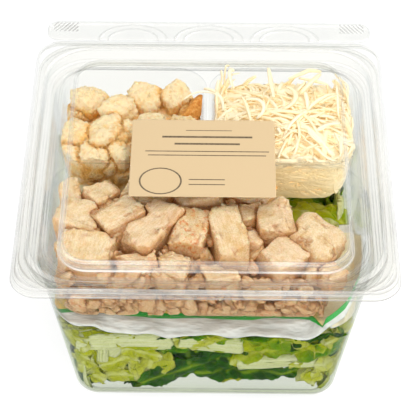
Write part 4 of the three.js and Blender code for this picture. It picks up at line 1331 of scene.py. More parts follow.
def make_croutons(material):
    draw = seeded(11)
    left, right, front, back = POCKETS["croutons"]
    middle = ((left + right) / 2, (front + back) / 2)
    lumps = [Lump(size=(54, 48, 25), at=(*middle, 79.5), squareness=5, uneven=0.02, seed=12)]
    places = list(TOP_CROUTONS)
    around = 6
    for index in range(around):
        angle = 2 * math.pi * (index + 0.5) / around
        x, y = math.cos(angle), math.sin(angle)
        reach = 1 / max(abs(x), abs(y))
        places.append((middle[0] + 25.5 * reach * x, middle[1] + 24 * reach * y, 80))
    for index, at in enumerate(places):
        size = [between(draw, 16, 20), between(draw, 15, 18), between(draw, 14, 17)]
        turn, tilt = between(draw, 0, 90), between(draw, -15, 15)
        lumps.append(Lump(
            size=np.array(size) * 1.05, at=at, turn=turn, tilt=1.5 * tilt,
            squareness=4.4, uneven=0.12, seed=500 + index,
        ))
    crusty = 1 + TOP_CROUTONS.index(CRUST_AT)
    lumps[crusty] = Lump(
        size=(8, 20, 15), at=CRUST_AT, turn=-24, tilt=34, roll=10, squareness=9, uneven=0.06, seed=77,
    )
    # Along each wall a low row and, but for the back, a high one
    rng = np.random.default_rng(40)
    draw = rng.uniform
    wall = 8
    for x, y in ((left + wall, None), (right - wall, None), (None, front + wall), (None, back - wall)):
        for step in range(5):
            share = (step + 0.5) / 5
            at_x = x if x is not None else left + wall + (right - left - 2 * wall) * share
            at_y = y if y is not None else front + wall + (back - front - 2 * wall) * share
            for z in (74.5, 86):
                if z > 80 and at_y > back - 22:
                    continue
                lumps.append(Lump(
                    size=draw(13, 19, 3), at=(at_x + draw(-3, 3), at_y + draw(-3, 3), z + draw(-2, 2)),
                    turn=draw(0, 90), tilt=draw(-30, 30),
                    squareness=3.2, uneven=0.12, seed=int(rng.integers(1, 9999)),
                ))
    noise = Noise(21)

    def relief(index, lump, some):
        local = lump.local(some) + index * BREAD_SHIFT
        airy = pits(local, 2.6, 3)
        rough = 0.9 * noise.rough(local, 8.0, 2, 0.6) + 0.7 * billow(noise, local, 2.5)
        rough = rough + 0.5 * billow(noise, local + 9.0, 1.5)
        return (rough - 0.7 * np.clip(0.45 - airy, 0, 1) / 0.45) * (0.35 if index == crusty else 1.0)

    def cut(points, field):
        return np.maximum(field, pocket_field("croutons", points) + 0.1)

    verts, quads, own, apart = heap(
        lumps, (left - 1, front - 1, POCKET_FLOOR - 1), (right + 3, back + 1, 109),
        0.78, relief, cut,
    )
    local = np.zeros_like(verts)
    height = np.zeros(len(verts))
    for index, lump in enumerate(lumps):
        mine = own == index
        local[mine] = lump.local(verts[mine]) + index * BREAD_SHIFT
        height[mine] = (verts[mine, 2] - lump.at[2]) / 8
    # Toasting at random, with painted shade: each crouton darker golden towards its foot; and painted light:
    # paler low in the heap
    low_down = np.clip((92 - verts[:, 2]) / 14, 0, 1)
    toast_and_shade = 0.36 - 0.42 * height + 0.45 * noise(local, 7.0) - 0.25 * low_down
    facts = {
        "grain": local,
        # Painted shade: darker in the pores and between croutons
        "hollow_shade": np.clip((0.5 - pits(local, 2.6, 3)) / 0.4, 0, 1),
        "toast_and_shade": np.clip(toast_and_shade, 0, 1),
        "crust": np.where(own == crusty, 1.0, 0.0),
        "crevice_shade": ease(apart, 3.2, 0.3),
    }
    piece = add_mesh("toasted_croutons", verts, quads, material, facts=facts)
    place(piece, "croutons", "croutons")


# ---------------------------------------------------------------- parmesan


def cheese_material():
    n = new_material("parmesan_cheese")
    spot = n.place()
    tone = n.fact("tone")
    depth = n.fact("depth")
    fine = n.noise(spot, 0.9, 3.0, 0.6)
    base = n.mix(tone, rgb(253, 243, 216), rgb(253, 235, 192))
    # Painted light: strips deeper in the heap are warmer yellow, to lift the shade there
    base = n.mix(n.times(depth, 0.6), base, rgb(255, 222, 140))
    base = n.mix(n.times(n.range(fine, 0.4, 0.7), 0.2), base, rgb(254, 247, 222))
    normal = n.bump(fine, 0.25, 0.5)
    # Its emission, most on deep strips, is a painted glow
    paint = n.paint(
        base, 0.5, Specular_IOR_Level=0.3, Normal=normal,
        Emission_Color=rgb(254, 222, 158), Emission_Strength=n.range(depth, 0.0, 0.3, 0.06, 0.24),
    )
    return n.finish(paint)


def mound_top(x, y):
    left, right, front, back = POCKETS["parmesan"]
    u = (x - (left + right) / 2) / ((right - left) / 2)
    v = (y - (front + back) / 2) / ((back - front) / 2)
    dome = np.cos(np.minimum(1.2, np.abs(u)) * 1.2) * np.cos(np.minimum(1.2, np.abs(v)) * 1.1)
    return 87.5 + 14 * dome - 4 * v


def strips(starts, headings, rise, curls, lengths, widths, thick, steps, keep, arc=2.0, upright=0.0):
    """
    Bent strips of flat section. arc 2 makes them rise and come down again, arc 0 keeps their
    slope, and upright turns their wide sides up. Returns points, faces and each one's number.
    """
    count = len(starts)
    position, heading = starts, headings
    path = [position]
    step = lengths / steps
    for index in range(steps):
        heading = heading + curls * step
        lift = rise * (1 - arc * index / steps)
        way = np.stack([np.cos(heading) * np.cos(lift), np.sin(heading) * np.cos(lift), np.sin(lift)], 1)
        position = keep(position + way * step[:, None])
        path.append(position)
    path = np.stack(path, 1)
    along = unit(np.gradient(path, axis=1), 1e-9)
    side = unit(np.cross((0, 0, 1.0), along), 1e-9)
    over = np.cross(along, side)
    tilt = upright + np.random.default_rng(3).uniform(-0.9, 0.9, count)[:, None, None]
    side, over = side * np.cos(tilt) + over * np.sin(tilt), over * np.cos(tilt) - side * np.sin(tilt)
    taper = np.sin(np.linspace(0.35, math.pi - 0.35, steps + 1))[None, :, None] ** 0.5
    wide = side * (widths / 2)[:, None, None] * taper
    high = over * (thick / 2)[:, None, None] * taper
    corners = np.stack([path - wide - high, path + wide - high, path + wide + high, path - wide + high], 2)
    start = (np.arange(count) * (steps + 1) * 4)[:, None]
    first = start[:, None] + (np.arange(steps) * 4)[None, :, None]
    faces = []
    for a in range(4):
        b = (a + 1) % 4
        faces.append(np.concatenate([first + a, first + b, first + b + 4, first + a + 4], 2).reshape(-1, 4))
    faces += [start + (3, 2, 1, 0), start + steps * 4 + np.arange(4)]
    return corners.reshape(-1, 3), np.concatenate(faces), np.repeat(np.arange(count), (steps + 1) * 4)


# Long shreds that stand out of the heap: x, y, z, heading in degrees, rise, curl, length, width
STRAYS = [
    (-13, 52, 104, 55, 0.25, -0.075, 26, 1.8), (33, 75, 107.5, -84, -0.1, 0.0, 24, 2.6),
    (14, 62, 104, 120, 0.3, -0.05, 20, 2.0), (50, 58, 104, 48, 0.3, 0.01, 20, 2.4),
    (70, 58, 104, 200, 0.2, 0.03, 22, 1.8), (20, 52, 104, 20, 0.35, -0.12, 24, 2.0),
    (60, 50, 104, 35, 0.3, -0.02, 18, 1.6), (8, 44, 103.5, 80, 0.3, 0.06, 22, 1.8),
    (44, 70, 104, 20, 0.2, 0.02, 22, 2.0), (30, 30, 104, 140, 0.3, 0.08, 24, 2.2),
    (56, 26, 103.5, 60, 0.2, -0.06, 22, 2.0), (40, 44, 105, 10, 0.2, 0.1, 24, 2.4),
]


def make_parmesan(material):
    left, right, front, back = POCKETS["parmesan"]
    rng = np.random.default_rng(23)
    draw = rng.uniform
    noise = Noise(33)
    pitch = 1.0
    low, counts, points = grid_over((left, front, POCKET_FLOOR - 1), (right, back, 106), pitch)
    over = 0.8 * (points[:, 2] - mound_top(points[:, 0], points[:, 1]) + 1.2)
    uneven = 0.7 * noise.rough(points * (0.5, 1, 1), 3.0, 2) + 0.5 * noise(points, 7.0)
    room = pocket_field("parmesan", points)
    field = np.maximum.reduce([over - uneven, room + 2.4 - 0.5 * uneven, room + 0.2])
    core_points, core_faces = surface_of(field.reshape(counts), low, pitch)

    def inside(position):
        """Keeps points in the pocket's room."""
        for _ in range(3):
            out = pocket_field("parmesan", position) + 1.0
            if not (out > 0).any():
                break
            slope = unit(np.stack([
                pocket_field("parmesan", position + way) - pocket_field("parmesan", position - way)
                for way in 0.4 * np.eye(3)
            ], 1) / 0.8, 1e-6)
            position = position - slope * (np.maximum(out, 0) * 0.9)[:, None]
        return position

    def on_top(position):
        """Keeps points near their layer of the heap, and in the pocket's room."""
        top = mound_top(position[:, 0], position[:, 1]) + layer
        return inside(np.column_stack([position[:, :2], np.clip(position[:, 2], top - 1.0, top + 3.5)]))

    count = 1300
    x = draw(left + 3, right - 3, count)
    y = draw(front + 3, back - 3, count)
    layer = draw(-1.6, 1.4, count)
    starts = np.stack([x, y, mound_top(x, y) + layer], 1)
    lengths = draw(11, 34, count)
    curls = rng.normal(0, 0.03, count)
    curls[rng.random(count) < 0.15] *= 3.5
    kind = rng.random(count)
    thin, middling, broad = draw(0.9, 1.5, count), draw(1.6, 2.5, count), draw(2.8, 4.2, count)
    widths = np.where(kind < 0.5, thin, np.where(kind < 0.88, middling, broad))
    one = strips(
        starts, draw(0, 2 * math.pi, count), rng.normal(0.1, 0.35, count), curls, lengths,
        widths, draw(0.6, 1.0, count), 9, on_top,
    )
    # Strips that lie along the walls: 0 left, 1 right, 2 front, 3 back
    count = 820
    spots = np.stack([
        draw(left + 2, right - 2, count), draw(front + 2, back - 2, count), draw(68.5, 98, count),
    ], 1)
    wall = rng.choice([0, 1, 2, 2, 2, 3], count)
    for number, axis, value in ((0, 0, left + 2), (1, 0, right - 2), (2, 1, front + 2), (3, 1, back - 2)):
        spots[wall == number, axis] = value
    spots[wall == 3, 2] = draw(70.5, 90, (wall == 3).sum())
    heading = np.where(wall < 2, math.pi / 2, 0) + rng.normal(0, 0.2, count)
    two = strips(
        inside(spots), heading, rng.normal(0, 0.7, count), rng.normal(0, 0.03, count),
        draw(8, 22, count), draw(1.1, 2.8, count), draw(0.6, 0.9, count), 8, inside, 0.6, math.pi / 2,
    )
    wild = 8
    x, y = draw(left + 6, right - 5, wild), draw(front + 10, back - 5, wild)
    strays = np.concatenate([STRAYS, np.stack([
        x, y, mound_top(x, y) + 1.5, draw(0, 360, wild), draw(0.2, 0.4, wild), rng.normal(0, 0.04, wild),
        draw(14, 27, wild), draw(1.2, 2.4, wild),
    ], 1)])
    _, _, _, heading, rise, curls, lengths, widths = strays.T
    three = strips(
        strays[:, :3], np.radians(heading), rise, curls, lengths, widths, np.full(len(strays), 0.9), 14,
        lambda position: np.clip(position, (-17, 8, TRAY_TOP + 1), (70, 76, LIP_TOP - 1.6)),
    )
    points, faces = joined([(core_points, core_faces), one[:2], two[:2], three[:2]])
    # How deep each point lies under the heap's top, for the painted glow and warmer yellow there
    tone, depth = [np.full(len(core_points), 1.0)], [np.full(len(core_points), 0.85)]
    for strip_points, _, number in (one, two, three):
        tone.append((number * GOLDEN) % 1.0)
        top = mound_top(strip_points[:, 0], strip_points[:, 1])
        depth.append(np.clip((top + 1.0 - strip_points[:, 2]) / 7.0, 0, 1) * 0.3)
    facts = {"tone": np.concatenate(tone), "depth": np.concatenate(depth)}
    place(add_mesh("parmesan_shreds", points, faces, material, facts=facts), "parmesan", "parmesan")


# ---------------------------------------------------------------- lettuce


def leaf_material():
    n = new_material("romaine_leaf")
    spot = n.vector("grain")
    tone = n.fact("tone")
    along, across, _ = n.split(spot)
    far = n.math("ABSOLUTE", across)
    wander = n.noise(spot, 0.12, 2.0)
    slant = n.minus(along, n.times(far, 0.9))
    slant = n.plus(slant, n.times(wander, 7.0))
    vein = n.range(n.math("PINGPONG", slant, 3.6), 0.0, 0.5, 1.0, 0.0)
    finer = n.plus(along, n.times(far, 1.6))
    finer = n.plus(finer, n.times(wander, 11.0))
    finer = n.range(n.math("PINGPONG", finer, 1.5), 0.0, 0.35, 0.45, 0.0)
    rib = n.range(n.plus(far, n.times(wander, 0.8)), 0.9, 2.0, 1.0, 0.0)
    vein = n.most(n.most(vein, finer), rib)
    mottle = n.noise(spot, 0.16, 3.0, 0.6)
    shade = n.plus(tone, n.times(n.minus(mottle, 0.5), 0.4), clamp=True)
    base = n.shades(
        shade, (0.0, 214, 218, 136), (0.16, 206, 210, 76), (0.30, 188, 196, 8), (0.44, 146, 176, 0),
        (0.58, 80, 142, 0), (0.72, 36, 102, 0), (0.86, 14, 68, 0), (1.0, 5, 42, 0),
    )
    pale = n.shades(shade, (0.0, 230, 233, 180), (0.4, 200, 210, 40), (1.0, 64, 126, 4))
    base = n.mix(n.times(vein, 0.5), base, pale)
    vein = n.times(vein, n.range(n.fact("rib"), 0.0, 1.0, 0.45, 0.0))
    blister = n.minus(n.noise(spot, 0.36, 2.0), vein)
    normal = n.bump(blister, 1.8, 0.8)
    rough = n.range(mottle, 0.3, 0.7, 0.18, 0.34)
    rib_tone = n.range(n.noise(n.stretch(spot, 0.04, 1.0, 1.0), 1.0, 3.0), 0.35, 0.65)
    stem = n.mix(rib_tone, rgb(236, 238, 192), rgb(212, 220, 146))
    base = n.mix(n.fact("rib"), base, stem)
    face = n.paint(base, rough, Specular_IOR_Level=0.1, Normal=normal)
    through = n.node("BsdfTranslucent", Color=n.mix(0.4, base, rgb(190, 215, 20)))
    return n.finish(n.blend(0.25, face, through))


def soft_below(values, limit, give):
    """Values pressed below a limit without any two becoming one."""
    over = values - (limit - give)
    return np.where(over > 0, limit - give * np.exp(-np.maximum(over, 0) / give), values)


def tub_limit(points, inset):
    """Moves points that would pass the tub's wall or floor back inside."""
    points = points.copy()
    points[:, 2] = np.clip(points[:, 2], 1.6, None)
    for _ in range(2):
        z = points[:, 2]
        lift = np.clip((inset + FLOOR_FILLET - z) / FLOOR_FILLET, 0, 1)
        pull = FLOOR_FILLET * (1 - np.sqrt(np.clip(1 - lift**2, 0, 1)))
        half = (wall_half(z) - inset - pull)[:, None]
        corner = np.clip(wall_corner(z) - inset - pull, 2, None)[:, None]
        flat = points[:, :2]
        away = np.abs(flat) - (half - corner)
        outside = np.maximum(away, 0)
        length = np.linalg.norm(outside, axis=1, keepdims=True)
        share = corner / np.maximum(length, 1e-6)
        moved = np.where(away > 0, outside * share + (half - corner), np.abs(flat))
        flat = np.where(length > corner, np.sign(flat) * moved, flat)
        points[:, :2] = np.where(np.abs(flat) > half, np.sign(flat) * half, flat)
    return points


def leaf_mesh(rng, noise, at, axes, length, width, curl, frill, bend, tone, rib, cells):
    """One leaf or rib: a thin closed sheet. axes hold its length, width and face directions."""
    u, v = unit_grid(*cells)
    shift = rng.uniform(0, 90, 3)

    def uneven(size, moved=0.0, squeeze=(1, 1, 1)):
        return noise(flat * squeeze + shift + moved, size).reshape(cells)

    blunt = 0.12 if rib else 0.42
    x = length / 2 * u * np.sqrt(1 - blunt * v * v)
    y = width / 2 * v * np.sqrt(1 - blunt * u * u)
    flat = np.stack([x, y, np.zeros_like(x)], -1).reshape(-1, 3)
    torn = 1 + (0.05 if rib else 0.20) * noise.rough(flat + shift, 11.0, 3, 0.7).reshape(cells)
    x, y = x * torn, y * torn
    flat = np.stack([x, y, np.zeros_like(x)], -1).reshape(-1, 3)
    edge = np.maximum(np.abs(u), np.abs(v)) ** 4
    ruffle = uneven(4.2, 40.0) + 0.5 * uneven(2.3)
    folds = uneven(9.0, squeeze=(0.5, 1, 1)) * 5.0 + uneven(5.0, 20.0) * 1.8
    shade = tone + 0.1 * uneven(9.0)
    if rib:
        ruffle, folds = ruffle * 0.2, folds * 0.22
    else:
        shade = shade - 0.16 * ((1 - np.abs(v)) ** 2 + edge)
    z = folds + frill * 1.5 * edge * ruffle + bend * length * u * u * 0.5
    # Curled about its length, unless it is nearly flat
    angle = curl * v
    if abs(curl) > 0.05:
        y = y * np.sin(np.abs(angle) + 1e-6) / (np.abs(angle) + 1e-6)
        z = z + width / 2 / abs(curl) * (1 - np.cos(angle)) * np.sign(curl)
    if rib:
        z = z + 0.3 * np.sin(v * 16) * (1 - v * v)
    middle = np.stack([x, y, z], -1)
    normal = unit(np.cross(np.gradient(middle, axis=0), np.gradient(middle, axis=1)), 1e-9)
    thick = RIB_SHEET * np.clip(1 - np.abs(v) ** 3, 0.15, 1) if rib else np.full_like(v, LEAF_SHEET)
    over = normal * thick[..., None] / 2
    points = np.concatenate([(middle + over).reshape(-1, 3), (middle - over).reshape(-1, 3)])
    shade = np.clip(np.tile(shade.ravel(), 2), 0, 1)
    grain = np.concatenate([flat, flat]) + (shift[0], 40.0 * rib, 0)
    return points @ axes + at, sheet_faces(*cells), shade, grain, np.full(len(points), float(rib))


def axes_for(facing, turn=0.0, lean=0.0):
    """Length, width and face directions of a leaf that faces out of a wall."""
    out = np.array([math.cos(facing), math.sin(facing), 0.0])
    side = np.array([-math.sin(facing), math.cos(facing), 0.0])
    up = np.array([0, 0, 1.0])
    out, up = out * math.cos(lean) - up * math.sin(lean), up * math.cos(lean) + out * math.sin(lean)
    long = side * math.cos(turn) + up * math.sin(turn)
    wide = up * math.cos(turn) - side * math.sin(turn)
    return np.stack([long, wide, out])


# Leaves against the front wall: x, z, length, width, turn in degrees, tone, rib, curl, frill and
# how deep behind the wall
FRONT_LEAVES = [
    (-42, 50.5, 50, 26, 2, 0.05, True, 0.6, 0.2, 2.6),
    (-62, 33, 17, 19, 70, 0.34, False, 0.5, 1.6, 3.4),
    (-53, 39, 17, 7, 86, 0.03, True, 0.9, 0.2, 3.0),
    (-45, 29, 24, 17, 12, 0.29, False, -0.5, 2.0, 2.8),
    (-28, 29, 34, 22, 74, 0.26, False, 0.4, 1.6, 4.0),
    (-33, 38, 22, 12, -8, 0.30, False, 0.5, 1.6, 3.4),
    (-17, 51, 28, 18, 66, 0.90, False, 0.5, 1.2, 3.6),
    (-9, 42, 34, 16, 92, 0.95, False, -0.5, 1.2, 4.6),
    (-4, 58, 24, 12, 10, 0.62, False, 0.4, 1.6, 4.2),
    (3, 46, 33, 15, -8, 0.07, True, 0.8, 0.3, 2.8),
    (-16, 21, 40, 16, 32, 0.82, False, 0.5, 1.6, 2.8),
    (-24, 14, 22, 14, 60, 0.74, False, 0.5, 1.8, 3.4),
    (0, 27, 28, 18, 15, 0.80, False, -0.4, 1.8, 3.4),
    (12, 33, 22, 12, 40, 0.92, False, 0.4, 1.4, 5.0),
    (20, 49, 28, 15, -12, 0.60, False, 0.6, 2.2, 2.8),
    (27, 38, 32, 13, 34, 0.46, False, 0.5, 2.2, 3.8),
    (42, 43, 34, 17, 16, 0.52, False, -0.5, 2.2, 3.6),
    (54, 41, 20, 14, 30, 0.56, False, 0.5, 2.2, 3.0),
    (47, 55, 26, 16, 48, 0.90, False, 0.4, 1.4, 3.6),
    (60, 62, 28, 14, 24, 0.84, False, 0.4, 1.6, 2.8),
    (66, 50, 20, 18, 60, 0.62, False, -0.4, 1.8, 3.6),
    (30, 56, 30, 11, 0, 0.16, True, 0.8, 0.3, 5.0),
    (38, 29, 42, 11, 4, 0.12, True, 0.9, 0.3, 2.8),
    (52, 27, 18, 9, -6, 0.34, False, 0.5, 2.0, 3.0),
    (30, 19, 38, 12, 2, 0.88, False, 0.5, 1.8, 2.8),
    (7, 18, 32, 13, 8, 0.84, False, -0.5, 1.8, 3.0),
    (56, 17, 8, 12, 76, 0.24, False, 0.4, 1.4, 2.8),
    (-50, 16, 24, 11, 8, 0.26, False, 0.4, 1.8, 2.8),
    (-36, 15, 20, 9, -16, 0.40, False, 0.4, 1.8, 3.6),
    (-58, 12, 12, 7, 40, 0.48, False, 0.4, 1.6, 3.2),
    (51, 34, 20, 14, -24, 0.42, False, 0.5, 1.8, 6.0),
    (-64, 52, 12, 26, 20, 0.12, False, 0.4, 1.0, 7.0),
    (-30, 45, 40, 20, 10, 0.80, False, 0.4, 1.4, 9.0),
    (20, 30, 50, 26, 5, 0.92, False, 0.4, 1.4, 9.5),
    (50, 48, 40, 24, -8, 0.84, False, 0.4, 1.4, 9.0),
    (-40, 26, 44, 22, -5, 0.66, False, 0.4, 1.4, 9.5),
    (-4, 38, 40, 30, 30, 0.95, False, 0.4, 1.4, 9.5),
    (-46, 60, 40, 12, 0, 0.35, False, 0.4, 1.4, 8.0),
]


def make_lettuce(material):
    rng = np.random.default_rng(31)
    draw = rng.uniform
    noise = Noise(44)
    sheets = []
    front = -math.pi / 2

    def add(at, axes, length, width, tone, rib=False, curl=0.5, frill=1.6, bend=0.0, cells=(16, 10)):
        curl = -abs(curl) if rib else curl
        cells = cells
        at = np.array(at, float)
        sheets.append(leaf_mesh(rng, noise, at, axes, length, width, curl, frill, bend, tone, rib, cells))

    for x, z, length, width, turn, tone, rib, curl, frill, deep in FRONT_LEAVES:
        at = (x, -(wall_half(z) - 1.2 - deep - (0.0 if rib else 1.0)), z)
        axes = axes_for(front, math.radians(turn))
        cells = (26, 17) if deep < 7 else (16, 12)
        add(at, axes, length, width, tone, rib, curl, frill, draw(-0.03, 0.03), cells)
    # Rows of leaves behind all four walls, farther in where the front leaves are
    for side in range(4):
        facing = front + side * math.pi / 2
        out = np.array([math.cos(facing), math.sin(facing), 0.0])
        along = np.array([-math.sin(facing), math.cos(facing), 0.0])
        for row, z in enumerate((12, 24, 36, 48, 58)):
            deep = 10.0 if side == 0 and row < 4 else 4.0
            for step in range(5):
                spot = -54 + 27 * step + (13 if row % 2 else 0) + draw(-5, 5)
                if abs(spot) > 66:
                    continue
                rib = rng.random() < 0.3
                tone = draw(0.02, 0.14) if rib else rng.choice([0.28, 0.42, 0.55, 0.66, 0.8, 0.92])
                away = wall_half(z) - 1.2 - deep - draw(0, 3)
                at = out * away + along * spot + np.array([0, 0, z + draw(-3, 3)])
                size = (draw(32, 46), draw(11, 15)) if rib else (draw(26, 42), draw(18, 28))
                axes = axes_for(facing, draw(-1.2, 1.2), draw(-0.3, 0.3))
                add(at, axes, *size, tone, rib, draw(-0.8, 0.8), draw(1.2, 2.4), draw(-0.05, 0.05))
    # A row under the sachet's front edge
    tones = (0.3, 0.2, 0.34, 0.7, 0.3, 0.5, 0.36, 0.55, 0.42)
    for x, tone in zip((-66, -52, -36, -20, -4, 12, 27, 43, 60), tones):
        add((x, -(wall_half(50) - 6.5), 49.5), axes_for(front, draw(-0.3, 0.3)), 27, 17, tone, frill=1.8)
    # Leaves on top, seen past the bare floor of the chicken's pocket: their pale tones are painted light
    # over the shade they lie in
    for x, y, tone in (
        (62, -6, 0.2), (50, 0, 0.28), (66, -20, 0.24), (58, 8, 0.3), (70, 4, 0.45), (64, -34, 0.3),
    ):
        face = unit(np.array([draw(-0.3, 0.3), draw(-0.5, 0.1), 1.0]))
        long = unit(np.cross(face, (math.cos(x), math.sin(x), 0.0)))
        add((x, y, 62), np.stack([long, np.cross(face, long), face]), 22, 17, tone, False, 0.6, 2.4)
    # Both front corners
    for side in (-1, 1):
        for z, tone in ((16, 0.3), (27, 0.2), (38, 0.34), (49, 0.24), (58, 0.3)):
            reach = wall_half(z) - 8
            axes = axes_for(math.radians(-90 + 45 * side), draw(-0.6, 0.6))
            add((side * reach, -reach, z), axes, 26, 17, tone, False, -0.7)
    # The heap's top
    for row in range(4):
        for column in range(5):
            z = LETTUCE_TOP + (2 if row else -4)
            at = (-54 + 27 * column + draw(-5, 5), -46 + 34 * row + draw(-5, 5), z)
            face = unit(np.array([draw(-0.25, 0.25), draw(-0.25, 0.25), 1.0]))
            spin = draw(0, math.pi)
            long = np.array([math.cos(spin), math.sin(spin), 0.0])
            long = unit(long - face * (long @ face))
            rib = rng.random() < 0.3
            tone = 0.08 if rib else rng.choice([0.2, 0.3, 0.42] if row == 1 else [0.4, 0.5, 0.62, 0.8])
            size = (draw(30, 44), 14 if rib else draw(20, 30))
            axes = np.stack([long, np.cross(face, long), face])
            add(at, axes, *size, tone, rib, draw(-0.8, 0.8), 2.2, draw(-0.05, 0.05))
    meshes, tones, grains, ribs = [], [], [], []
    for points, faces, tone, grain, rib in sheets:
        room = wall_half(points[:, 2:]) - 1.4
        flat = points[:, :2]
        points[:, :2] = np.sign(flat) * soft_below(np.abs(flat), room, 3.0)
        points[:, 2] = 9.0 - soft_below(9.0 - points[:, 2], 7.4, 3.0)
        points = tub_limit(points, 1.3)
        skew = SACHET_SKEW * np.clip(points[:, 0] / SACHET_HALF - 0.6, 0, 1) / 0.4
        under_sachet = points[:, 1] < SACHET_BACK + skew + 2
        top = np.where(under_sachet, SACHET_BED - 0.8, POCKET_FLOOR - TRAY_SHEET - GAP - 0.2)
        points[:, 2] = soft_below(points[:, 2], top, 4.0)
        meshes.append((points, faces))
        tones.append(tone)
        grains.append(grain)
        ribs.append(rib)
    # A plain core that no light passes
    levels = ((11, 10), (15, 3), (35, 1), (51, 1), (54.4, 3))
    points, faces = loft([ring(wall_half(z) - 11.0 - pull, z, wall_corner(z)) for z, pull in levels])
    points = points + 1.2 * np.stack([Noise(50)(points + 9.0 * i, 9.0) for i in range(3)], 1)
    meshes.append((points, faces))
    facts = {
        "tone": np.concatenate([*tones, np.full(len(points), 0.6)]),
        "grain": np.concatenate([*grains, points]),
        "rib": np.concatenate([*ribs, np.zeros(len(points))]),
    }
    place(add_mesh("chopped_romaine", *joined(meshes), material, facts=facts), "lettuce", "lettuce")


# ---------------------------------------------------------------- sachet


def film_material():
    n = new_material("sachet_film")
    spot = n.vector("film")
    u, v, end = n.split(spot)
    creases = n.noise(n.stretch(n.place(), 0.08, 0.24, 0.14), 1.0, 2.0, 0.5)
    wander = n.times(n.minus(n.noise(n.place(), 0.05, 2.0), 0.5), 0.12)
    depth = n.plus(v, wander)
    # Painted shade: the white film greyer along its creases
    white = n.mix(n.range(creases, 0.3, 0.7), rgb(198, 200, 193), rgb(234, 235, 229))
    inner = n.mix(n.range(depth, -0.5, 0.2), rgb(252, 220, 104), rgb(250, 230, 150))
    green_from = n.range(u, 0.58, 0.66, -0.70, -0.80)
    past_fold = n.times(n.range(u, 0.58, 0.66), n.range(depth, -0.585, -0.565))
    inner = n.mix(past_fold, inner, rgb(243, 232, 190))
    colour = n.mix(n.over(depth, green_from), white, rgb(14, 168, 54))
    colour = n.mix(n.over(depth, -0.60), colour, inner)
    colour = n.mix(n.over(depth, 0.86), colour, white)
    colour = n.mix(n.over(n.plus(end, wander), 0.08), colour, white)
    normal = n.bump(creases, 2.6, 0.8)
    return n.finish(n.paint(
        colour, 0.28, Specular_IOR_Level=0.5, Normal=normal, Coat_Weight=0.25, Coat_Roughness=0.15,
    ))


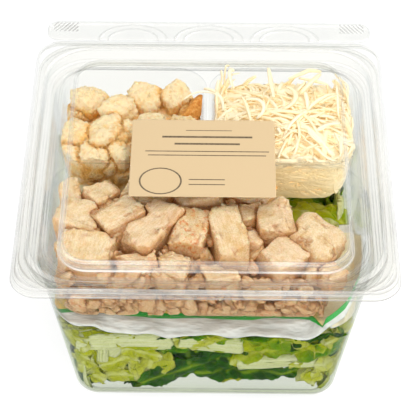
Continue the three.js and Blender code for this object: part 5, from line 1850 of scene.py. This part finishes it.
def make_sachet(material):
    """A flat pillow under the tray. Its right end stands up along the tub's wall."""
    cells = ((120, 52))
    u, v = unit_grid(*cells)
    middle_y = (SACHET_FRONT + SACHET_BACK) / 2
    half_depth = (SACHET_BACK - SACHET_FRONT) / 2
    bend_at = 0.84
    reach = SACHET_HALF - 0.4
    noise = Noise(61)
    stand = np.clip(u - bend_at, 0, None) / (1 - bend_at)
    left_end = np.clip(-u - 0.1, 0, None) / 0.9
    lift = np.clip(u - 0.5, 0, None) / 0.5
    droop = np.clip(-v - 0.6, 0, None) / 0.4
    wave = 0.9 * np.sin(7 * u + 1) * droop
    wave += 1.2 * np.sin(17 * u + 2) * droop**2 + 0.7 * np.sin(31 * u) * droop**2
    rise = 9 * left_end**1.5 + 7 * lift**2 * (0.5 - 0.5 * v) + 20 * stand * (0.6 - 0.4 * v)
    x = np.where(u < bend_at, reach * u / bend_at, reach + 3 * stand)
    x = np.where(u < 0, reach * u, x)
    y = middle_y + half_depth * v + SACHET_SKEW * np.clip(u - 0.5, 0, 0.4) / 0.4 * (v + 1) / 2
    # The front right corner folds up along a ridge: x and y of its line
    fold = ease(u, 0.55, 0.68)
    ridge = -np.interp(x, (47, 62, 66, 70, 73, 75, 77, 79), (77.4, 77.3, 75.8, 73.3, 70.3, 67.2, 63, 55))
    folded = np.where(
        v < -0.45, ridge + np.interp(v, (-1, -0.62, -0.45), (-0.5, -0.4, 0.8)),
        ridge + 0.8 + (v + 0.45) / 1.45 * (SACHET_BACK + SACHET_SKEW - ridge - 0.8),
    )
    y = y * (1 - fold) + folded * fold
    corner_rise = np.interp(x, (47, 58, 62, 70, 75, 79), (0, 4, 8, 14, 23, 26))
    rise = rise * (1 - fold) + fold * np.clip(-v - 0.35, 0, 0.1) * 10 * corner_rise
    back_slope = 1 - 0.75 * ease(v, 0.0, 1.0)
    rise += 9 * fold * np.interp(v, (-1, -0.62, -0.45), (0, 1, 0))
    rise += (20 * stand + 6 * fold) * ease(v, -0.6, -0.4) * back_slope
    rise += 1.6 * stand * np.sin(7 * v + 1) + 3.0 * fold * ease(v, 0.3, 1.0) * (u - 0.6)
    flat = np.stack([x, y, np.zeros_like(x)], -1).reshape(-1, 3)
    creases = noise.rough(flat * (0.6, 1, 1), 10.0, 2).reshape(cells) * 0.6
    creases += 0.7 * droop * (np.abs(noise(flat * (0.7, 1, 1) + 5.0, 8.0)).reshape(cells) - 0.3)
    fill = np.clip(1 - u**4, 0, 1) * np.clip(1 - v**4, 0, 1) * (1 - fold * ease(v, 0.1, -0.3))
    half = (SACHET_SEAL + (SACHET_FILL - SACHET_SEAL) * fill) / 2
    z = SACHET_BED + SACHET_FILL / 2 + rise - 2.2 * droop + wave + creases * (0.4 + 0.6 * fill)
    # Pressed down where the chicken's pocket is above it
    flat[:, 2] = POCKET_FLOOR + 6
    below = pocket_field("chicken", flat, -TRAY_SHEET - 0.6).reshape(cells) < 0
    z = np.where(below, np.minimum(z, POCKET_FLOOR - TRAY_SHEET - 0.5 - half), z)
    top = np.stack([x, y, z + half], -1).reshape(-1, 3)
    bottom = np.stack([x - 0.5 * stand, y, z - half], -1).reshape(-1, 3)
    points = np.concatenate([tub_limit(top, 1.3), tub_limit(bottom, 1.9)])
    film = [np.stack([u, v, end], -1).reshape(-1, 3) for end in (stand, np.ones_like(u))]
    facts = {"film": np.concatenate(film)}
    piece = add_mesh("dressing_sachet", points, sheet_faces(*cells), material, facts=facts)
    place(piece, "sachet_film", "sachet")


# ---------------------------------------------------------------- everything together
make_tub(clear_plastic("clear_tub", rim=0.3, tint=rgb(226, 232, 214)))
make_lid(clear_plastic("clear_lid", glint_streaks=1.0))
make_tray(clear_plastic("clear_tray", body=0.5))
make_strip(clear_plastic("clear_strip", haze=0.05))
make_label()
meat = meat_material()
make_chunks(meat)
make_bed(meat)
make_bits(meat)
make_croutons(bread_material())
make_parmesan(cheese_material())
make_lettuce(leaf_material())
make_sachet(film_material())

scene = bpy.context.scene
scene.view_settings.view_transform = "Standard"
scene.cycles.transparent_max_bounces = 32
scene.cycles.max_bounces = 12
scene.cycles.glossy_bounces = 8
scene.cycles.diffuse_bounces = 10
